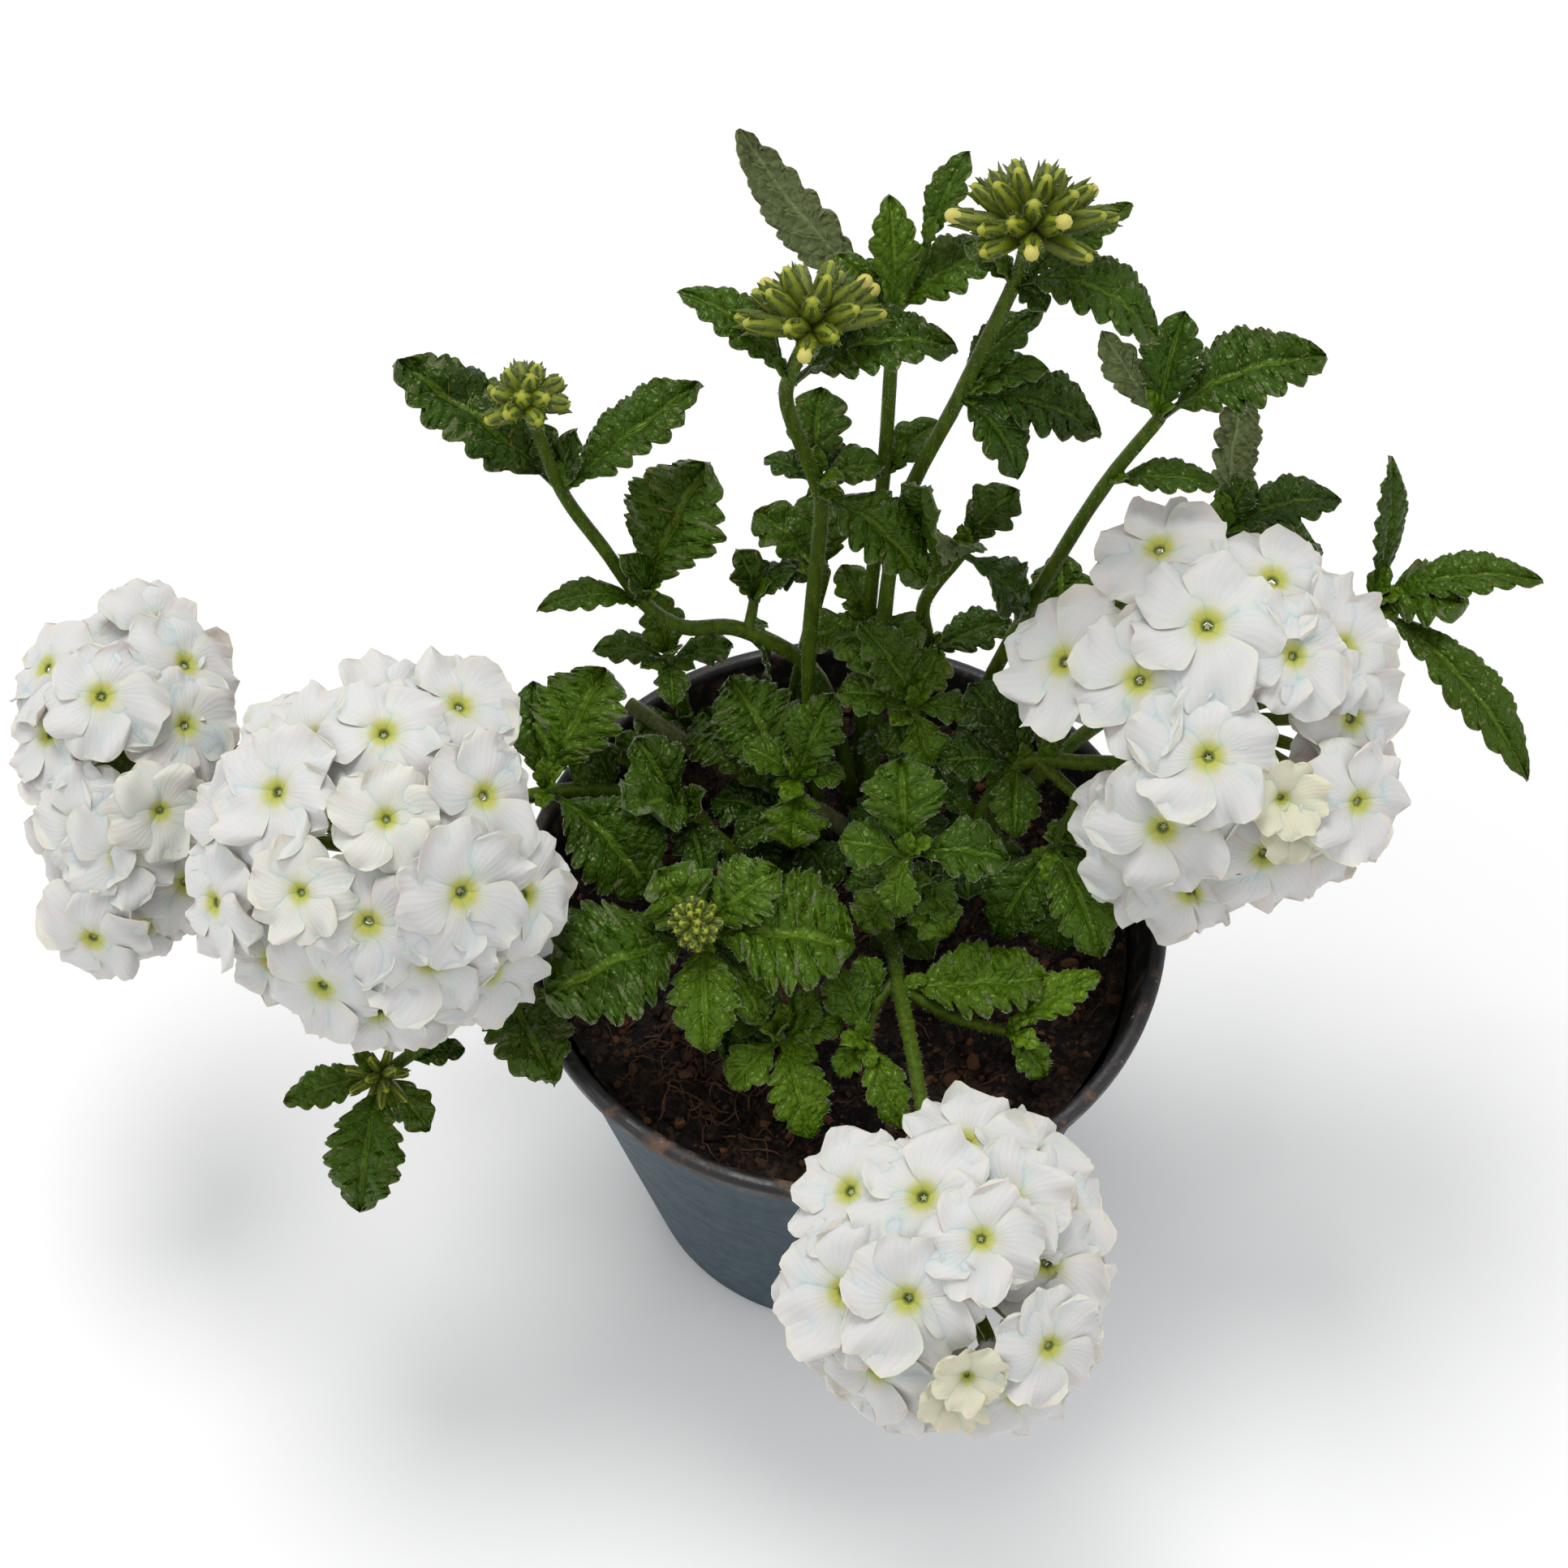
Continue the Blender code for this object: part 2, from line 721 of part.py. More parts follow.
def leaf_axes(base, tip, roll):
    """A leaf's own axes: along its length, across it, and out of its upper face."""
    along = (tip - base).normalized()
    across = along.cross(Vector((0.0, 0.0, 1.0)))
    if across.length < 0.05:
        across = Vector((1.0, 0.0, 0.0))
    across.normalize()
    turn = Matrix.Rotation(math.radians(roll), 3, along)
    return along, turn @ across, turn @ across.cross(along)


def blade_half_width(t):
    """The share of the half width at a share of the blade's length, widest near two fifths."""
    return math.sin(math.pi * t**0.756) ** 0.8


def leaf_teeth(length):
    """Fewer teeth a side on a smaller leaf."""
    return 2 if length < LARGE_LEAF else 3


def leaf_object(name, base, plan, home):
    """A toothed blade on a short petiole, the same triangles on both faces."""
    tip = plan["tip"]
    length = (tip - base).length
    along, across, out = leaf_axes(base, tip, plan["roll"])
    half = length * plan["width"] / 2
    teeth = leaf_teeth(length)

    def place(t, side):
        lift = plan["arch"] * length * 4 * t * (1 - t)
        return base + along * (length * t) + across * side + out * lift

    start = PETIOLE_SHARE
    span = 1.0 - start
    petiole = PETIOLE_WIDTH / 2
    edge = [(0.0, petiole), (start, petiole)]
    for k in range(teeth):
        tooth = (k + TOOTH_AT) / (teeth + TIP_TEETH)
        notch = (k + 1.0) / (teeth + TIP_TEETH)
        edge.append((start + span * tooth, half * blade_half_width(tooth)))
        edge.append((start + span * notch, half * NOTCH * blade_half_width(notch)))
    sheet = []
    for t, side in edge:
        thick = PETIOLE_THICKNESS if t <= start else BLADE_THICKNESS
        sheet += [(place(t, side), thick), (place(t, -side), thick)]
    sheet.append((place(1.0, 0.0), BLADE_THICKNESS))
    last = len(sheet) - 1
    faces = [(last - 2, last, last - 1)]
    for left in range(0, last - 2, 2):
        faces += [(left, left + 2, left + 1), (left + 1, left + 2, left + 3)]
    return slab_object(name, sheet, faces, out, home)


def slab_object(name, sheet, faces, out, home):
    """A sheet of triangles given its thickness both ways, and closed round its edge."""
    count = len(sheet)
    points = [p + out * (thick / 2) for p, thick in sheet] + [p - out * (thick / 2) for p, thick in sheet]
    closed = list(faces) + [tuple(i + count for i in face[::-1]) for face in faces]
    edges = {}
    for a, b, c in faces:
        for pair in ((a, b), (b, c), (c, a)):
            edges[pair] = True
    for a, b in edges:
        if (b, a) not in edges:
            closed.append((b, a, a + count))
            closed.append((b, a + count, b + count))
    obj = mesh_object(name, points, closed, home)
    face_out(obj.data)
    return obj


def face_out(mesh):
    """Turns a closed mesh's faces outwards."""
    work = bmesh.new()
    work.from_mesh(mesh)
    bmesh.ops.recalc_face_normals(work, faces=work.faces)
    if work.calc_volume(signed=True) < 0:
        bmesh.ops.reverse_faces(work, faces=work.faces)
    work.to_mesh(mesh)
    work.free()


def fuse(obj, repeats):
    """One union of the object with a collection's repeats, which are then removed."""
    join = obj.modifiers.new("Join", "BOOLEAN")
    join.operation = "UNION"
    join.operand_type = "COLLECTION"
    join.collection = repeats
    join.solver = "MANIFOLD"
    mesh = evaluated_mesh(obj)
    obj.modifiers.clear()
    old = obj.data
    obj.data = mesh
    bpy.data.meshes.remove(old)
    for other in list(repeats.objects):
        remove_object(other)
    bpy.data.collections.remove(repeats)
    keep_outer_shell(mesh)


def keep_outer_shell(mesh):
    """Keeps the largest body, so a sealed hollow is filled and a loose scrap is dropped."""
    work = bmesh.new()
    work.from_mesh(mesh)
    left = set(work.faces)
    shells = []
    while left:
        shell = grown_from(left.pop(), left)
        shells.append(shell)
    shells.sort(key=shell_volume)
    for shell in shells[:-1]:
        bmesh.ops.delete(work, geom=shell, context="FACES")
    work.to_mesh(mesh)
    work.free()


def grown_from(face, left):
    """The faces that join this one, taken out of those left."""
    shell = [face]
    waiting = [face]
    while waiting:
        for edge in waiting.pop().edges:
            for other in edge.link_faces:
                if other in left:
                    left.discard(other)
                    shell.append(other)
                    waiting.append(other)
    return shell


def shell_volume(shell):
    """A shell's signed volume, times six."""
    total = 0.0
    for face in shell:
        first, *rest = [v.co for v in face.verts]
        for a, b in zip(rest, rest[1:]):
            total += first.dot(a.cross(b))
    return total


def head_seat(name):
    """The centre and core radius of what a stem carries."""
    if name in HEADS:
        return Vector(HEADS[name]["centre"]), CORE_RADIUS
    return Vector(BUDS[name]["centre"]), BUDS[name]["core"]


def build_shoot(name, plan, home, paint):
    radius = plan.get("radius", STEM_RADIUS)
    stems = [list(route) for route in plan["stems"]]
    if "to" in plan:
        centre, core = head_seat(plan["to"])
        last = Vector(stems[0][-1])
        stems[0].append(centre + (last - centre).normalized() * (core + SEAT_GAP))
    repeats = new_collection(name + "_repeats")
    main = stem_object(name, smooth_route(stems[0], ROUTE_STEPS), (radius, TIP_RADIUS), home)
    for i, route in enumerate(stems[1:]):
        points = smooth_route(route, ROUTE_STEPS)
        stem_object(f"{name}_branch_{i}", points, (TIP_RADIUS, TIP_RADIUS * 0.8), repeats)
    for i, blade in enumerate(plan["leaves"]):
        base = route_point(stems[blade["stem"]], blade["at"])
        leaf_object(f"{name}_leaf_{i}", base, blade, repeats)
    if plan["leaves"]:
        fuse(main, repeats)
    painted(main, paint)
    smooth_shaded(main)


def painted(obj, paint):
    """Gives every face of an object one material."""
    obj.data.materials.clear()
    obj.data.materials.append(paint)
    for face in obj.data.polygons:
        face.material_index = 0


def core_object(name, centre, radius, fineness, home):
    bpy.ops.mesh.primitive_ico_sphere_add(subdivisions=fineness, radius=radius * MM)
    core = bpy.context.object
    core.name = name
    core.data.transform(Matrix.Translation(Vector(centre) * MM))
    for old in list(core.users_collection):
        old.objects.unlink(core)
    home.objects.link(core)
    return core


def floret_seat(plan, right, up, behind):
    """A floret's place on its head's round, and the way it faces there."""
    size = plan["size"]
    x, y = right / size[0], up / size[1]
    deep = math.sqrt(max(1.0 - x * x - y * y, 0.0))
    local = Vector((x, y, -deep if behind else deep)).normalized()
    seat = Vector(local[k] * size[k] for k in range(3))
    out = Vector(local[k] / size[k] for k in range(3)).normalized()
    return Vector(plan["centre"]) + EYE_AXES.transposed() @ seat, EYE_AXES.transposed() @ out


def on_round(plan, point, lift):
    """The point moved in or out to the head's round, raised by the lift."""
    centre = Vector(plan["centre"])
    local = EYE_AXES @ (point - centre)
    share = math.sqrt(sum((local[k] / (plan["size"][k] + lift)) ** 2 for k in range(3)))
    return centre + (point - centre) / share


def floret_levels(seats, petals):
    """A level for each floret, so that limbs which overlap lie one under the other. The first lies on top."""
    levels = []
    for i, seat in enumerate(seats):
        taken = set()
        for j in range(i):
            if (seat - seats[j]).length < FLORET_ROOM * (petals[i] + petals[j]):
                taken.add(levels[j])
        levels.append(next(level for level in range(len(seats)) if level not in taken))
    return levels


def floret_object(name, plan, seat, way, level, petal, spin, home):
    """Five notched petals that follow the head's round, on a tube that runs down into the core."""
    across = way.orthogonal().normalized()
    beside = way.cross(across)
    lift = LEVEL_STEP * (TOP_LEVEL - level)

    def spread(turn, radius):
        return across * (math.cos(turn) * radius) + beside * (math.sin(turn) * radius)

    def place(turn, radius, drop):
        return on_round(plan, seat + spread(turn, radius), lift - drop)

    points = [place(0.0, 0.0, 0.0)]
    ring = 4 * PETALS
    step = 2 * math.pi / PETALS
    lobe = math.radians(LOBE_TURN)
    for i in range(PETALS):
        turn = i * step + spin
        points.append(place(turn - step / 2, VALLEY_REACH * petal, 0.0))
        points.append(place(turn - lobe, LOBE_REACH * petal, 0.0))
        points.append(place(turn, NOTCH_REACH * petal, 0.0))
        points.append(place(turn + lobe, LOBE_REACH * petal, 0.0))
    for i in range(PETALS):
        turn = i * step + spin
        points.append(place(turn - step / 2, VALLEY_REACH * petal, LIMB_THICKNESS))
        points.append(place(turn, UNDER_REACH * petal, LIMB_THICKNESS))
    side = 2 * math.pi / TUBE_SIDES
    centre = Vector(plan["centre"])
    foot = centre + (seat - centre).normalized() * (CORE_SINK * CORE_RADIUS)
    points += [place(side * i + spin, TUBE_FLARE, 2 * LIMB_THICKNESS) for i in range(TUBE_SIDES)]
    points += [foot + spread(side * i + spin, TUBE_RADIUS) for i in range(TUBE_SIDES)]
    top, under, neck_at = 1, 1 + ring, 1 + ring + 2 * PETALS
    foot_at = neck_at + TUBE_SIDES
    faces = [(0, top + i, top + (i + 1) % ring) for i in range(ring)]
    for i in range(PETALS):
        valley, left, notch, right = (top + 4 * i + k for k in range(4))
        valley_next = top + 4 * ((i + 1) % PETALS)
        low, tip, low_next = under + 2 * i, under + 2 * i + 1, under + 2 * ((i + 1) % PETALS)
        faces += [(valley, low, left), (left, low, tip), (left, tip, notch), (notch, tip, right)]
        faces += [(right, tip, low_next), (right, low_next, valley_next)]
    faces += ring_bridge(under, 2 * PETALS, neck_at, TUBE_SIDES)
    for i in range(TUBE_SIDES):
        after = (i + 1) % TUBE_SIDES
        faces.append((neck_at + i, foot_at + i, foot_at + after))
        faces.append((neck_at + i, foot_at + after, neck_at + after))
    faces += [(foot_at, foot_at + i + 1, foot_at + i) for i in range(1, TUBE_SIDES - 1)]
    obj = mesh_object(name, points, faces, home)
    face_out(obj.data)
    return obj


def ring_bridge(outer, outer_count, inner, inner_count):
    """Triangles between two rings of unlike counts, the outer one starting half a petal back."""
    faces = []
    i = j = 0
    back = 0.5 / PETALS
    while i < outer_count or j < inner_count:
        if j >= inner_count or (i < outer_count and (i + 1) / outer_count - back <= (j + 0.5) / inner_count):
            faces.append((outer + i % outer_count, inner + j % inner_count, outer + (i + 1) % outer_count))
            i += 1
        else:
            faces.append((inner + j % inner_count, inner + (j + 1) % inner_count, outer + i % outer_count))
            j += 1
    return faces


def build_head(name, plan, home, paint):
    repeats = new_collection(name + "_repeats")
    core = core_object(name, plan["centre"], CORE_RADIUS, 2, home)
    rows = [(row, False) for row in plan["florets"]] + [(row, True) for row in plan["behind"]]
    seats = [floret_seat(plan, right, up, behind) for (right, up, _), behind in rows]
    petals = [row[2] for row, _ in rows]
    levels = floret_levels([seat for seat, _ in seats], petals)
    for i, (seat, way) in enumerate(seats):
        floret_object(f"{name}_floret_{i}", plan, seat, way, levels[i], petals[i], FLORET_SPIN * i, repeats)
    fuse(core, repeats)
    painted(core, paint)


def bud_object(name, centre, way, plan, spin, home):
    """One closed bud: a spindle with few sides from the core to its tip."""
    across = way.orthogonal().normalized()
    beside = way.cross(across)
    root = Vector(centre) + way * (0.5 * plan["core"])
    belly = Vector(centre) + way * (plan["core"] + 0.5 * plan["length"])
    tip = Vector(centre) + way * (plan["core"] + plan["length"])
    points = []
    for middle, radius in ((root, BUD_ROOT), (belly, BUD_BELLY)):
        for i in range(BUD_SIDES):
            turn = 2 * math.pi / BUD_SIDES * i + spin
            points.append(middle + across * (math.cos(turn) * radius) + beside * (math.sin(turn) * radius))
    points.append(tip)
    faces = [(0, 2, 1)]
    for i in range(BUD_SIDES):
        after = (i + 1) % BUD_SIDES
        faces.append((i, after, BUD_SIDES + after))
        faces.append((i, BUD_SIDES + after, BUD_SIDES + i))
        faces.append((BUD_SIDES + i, BUD_SIDES + after, 2 * BUD_SIDES))
    obj = mesh_object(name, points, faces, home)
    face_out(obj.data)
    return obj


def spiral_way(number, count, faces):
    """The number's direction on a golden spiral about the way that a head faces."""
    tilt = math.radians(BUD_SPREAD) * math.sqrt((number + 0.4) / count)
    turn = math.radians(GOLDEN_TURN) * number
    local = Vector((math.sin(tilt) * math.cos(turn), math.sin(tilt) * math.sin(turn), math.cos(tilt)))
    return Vector((0.0, 0.0, 1.0)).rotation_difference(Vector(faces)) @ local


def build_bud_head(name, plan, home, paint):
    repeats = new_collection(name + "_repeats")
    core = core_object(name, plan["centre"], plan["core"], 1, home)
    for i in range(plan["count"]):
        way = spiral_way(i, plan["count"], plan["faces"])
        bud_object(f"{name}_bud_{i}", plan["centre"], way, plan, BUD_SPIN * i, repeats)
    fuse(core, repeats)
    painted(core, paint)


def build():
    clear_scene()
    home = new_collection(COLLECTION)
    build_pot(home)
    build_soil(home)
    green = material("leaf_green", GREEN, 0.6)
    old_wood = material("old_stem", WOOD_GREEN, 0.7)
    for name, plan in SHOOTS.items():
        build_shoot(name, plan, home, green if plan["leaves"] else old_wood)
    white = material("petal_white", PETAL_WHITE, 0.6)
    for name, plan in HEADS.items():
        build_head(name, plan, home, white)
    bud_green = material("bud_green", BUD_GREEN, 0.6)
    for name, plan in BUDS.items():
        build_bud_head(name, plan, home, bud_green)


build()
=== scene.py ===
"""White garden verbena in its nursery pot: petals, leaves, stems, buds, soil, pot, and a small studio."""

import json
import math
from typing import NamedTuple

import bmesh
import bpy
import numpy as np
from bpy.props import FloatProperty, FloatVectorProperty, IntProperty, PointerProperty
from mathutils import Matrix, Vector, noise

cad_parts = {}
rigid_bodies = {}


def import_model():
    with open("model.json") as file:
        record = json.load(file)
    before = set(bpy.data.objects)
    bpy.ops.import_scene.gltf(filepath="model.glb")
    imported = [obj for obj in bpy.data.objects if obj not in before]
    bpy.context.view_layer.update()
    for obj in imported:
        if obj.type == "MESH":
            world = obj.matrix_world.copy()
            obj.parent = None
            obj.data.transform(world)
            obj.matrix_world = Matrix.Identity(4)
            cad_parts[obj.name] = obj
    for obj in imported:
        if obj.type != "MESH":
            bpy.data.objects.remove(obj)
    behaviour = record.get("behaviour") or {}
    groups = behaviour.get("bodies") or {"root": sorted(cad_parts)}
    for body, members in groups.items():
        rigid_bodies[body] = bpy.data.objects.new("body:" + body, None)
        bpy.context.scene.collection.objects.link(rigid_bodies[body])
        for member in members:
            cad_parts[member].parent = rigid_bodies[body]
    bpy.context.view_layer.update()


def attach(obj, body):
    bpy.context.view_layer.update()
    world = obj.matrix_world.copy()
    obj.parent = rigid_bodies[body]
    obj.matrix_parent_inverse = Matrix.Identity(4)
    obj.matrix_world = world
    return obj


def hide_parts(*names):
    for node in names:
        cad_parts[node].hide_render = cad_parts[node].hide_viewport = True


bl_info = {
    "name": "White verbena in its pot",
    "version": (1, 0, 0),
    "blender": (4, 5, 0),
    "location": "View3D > Sidebar > Verbena",
    "description": "Builds the petals, leaves, stems, buds, soil and pot of a white garden verbena",
    "category": "Object",
}

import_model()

MM = 0.001
PAINT = "grown"

# Lengths from here on are in millimetres, and angles in degrees.
POT_HEIGHT = 100.0
RIM_RADIUS = 60.0
RIM_OVERHANG = 2.6
RIM_BAND = 4.0
RIM_ROUND = 0.8
WALL = 1.3
BASE_RADIUS = 38.7
BASE_ROUND = 1.5
FLOOR = 2.6
CHANNELS = 6
CHANNEL_TURN = 46.0
CHANNEL_WIDTH = 7.0
CHANNEL_DEPTH = 1.1
CHANNEL_START = 20.0
DRAIN_RADIUS = 3.0
DRAIN_RING = 29.0
POT_SIDES = 144
POT_CREASE = 40.0

SOIL_TOP = 87.0
SOIL_SLOPE = 0.012
LUMP_HEIGHT = 1.8
LUMP_SIZE = 14.0
CRUMB_HEIGHT = 0.8
CRUMB_SIZE = 6.0
SEAT_GAP = 0.3
SOIL_RINGS = 76
SOIL_SIDES = 300
SOIL_CREASE = 50.0
MOUND = (-34, -34)
MOUND_WIDTH = 8

CORE_RADIUS = 8.0
TOP_LEVEL = 2
LOWEST_LEVEL = 5
FLORET_ROOM = 0.7
FLORET_SPIN = 1.7
PETALS = 5
GOLDEN_TURN = 137.508
TURN_TO_EYE = 1.15
INNER_BUDS = 12
INNER_BUD_TIPS = (13.0, 18.0)
HALF_OPEN = 8
NEARLY_OPEN = 10
THROAT_DEPTH = 1.7
TIP_BUD_TIPS = (6.5, 9.0)
BUD_TOOTH = 0.26

# A leaf's stalk is this share of its length, and its lobes and hairs go by its length.
PETIOLE = 0.13
LOBE_LENGTH = 4.1
LOBES = (3, 7)
EDGE_HAIRS = 5
STEM_HAIRS = 9
HAIR_RADIUS = 0.028
EDGE_HAIR_RADIUS = 0.03
STEM_SIDES = 12
STEM_STEPS = 7
AXIL_LENGTHS = (4.5, 8.0)

SOIL_SEED = 41
OLD_STEM_SEED = 90
SHOOT_SEED = 100
HEAD_SEED = 200
BUD_SEED = 300

# Places across the half of a blade and of a petal, from its middle to its edge, and the columns of a
# petal that its underside has.
BLADE_HALF = (0.0, 0.07, 0.2, 0.38, 0.58, 0.77, 0.91, 1.0)
AXIL_HALF = (0.0, 0.38, 0.77, 1.0)
PETAL_HALF = (0.0, 0.13, 0.27, 0.41, 0.55, 0.69, 0.82, 0.92, 1.0)
PETAL_KEPT = [0, 4, 8, 12, 16]
PETAL_ROWS = 13

# The head plans are drawn as seen from this height above the front, in degrees.
EYE_ELEVATION = 56.6
EYE_RIGHT = Vector((1.0, 0.0, 0.0))
EYE_BACK = Vector((0.0, -math.cos(math.radians(EYE_ELEVATION)), math.sin(math.radians(EYE_ELEVATION))))
EYE_UP = EYE_BACK.cross(EYE_RIGHT)
EYE_AXES = Matrix((EYE_RIGHT, EYE_UP, EYE_BACK))

# The camera, the lights and the floor are in metres. A light has its place, its width and its colour.
CAMERA_PLACE = (-10.5 * MM, -304.1 * MM, 600.9 * MM)
CAMERA_LENS = 73.17
LIGHTS = {
    "key_light": ((-0.15, 0.3, 1.15), 0.45, (1.0, 0.99, 0.972)),
    "fill_light": ((0.8, -0.5, 0.7), 0.9, (0.985, 0.99, 1.0)),
    "left_light": ((-0.9, -0.2, 0.6), 0.8, (1.0, 1.0, 1.0)),
}
LIGHT_AIM = (-0.01, 0.0, 0.12)
SKY = (0.985, 0.99, 1.0, 1.0)
SKY_STRENGTH = 0.66
FLOOR_REACH = 2.5


class Leaf(NamedTuple):
    """A leaf's plan: the point of its stem that it leaves from, its tip, and its looks.

    Width and arch are shares of its length, and the roll is in degrees.
    """

    at: float
    tip: tuple
    width: float = 0.5
    arch: float = 0.12
    roll: float = 0.0
    stem: int = 0
    young: float = 0.25


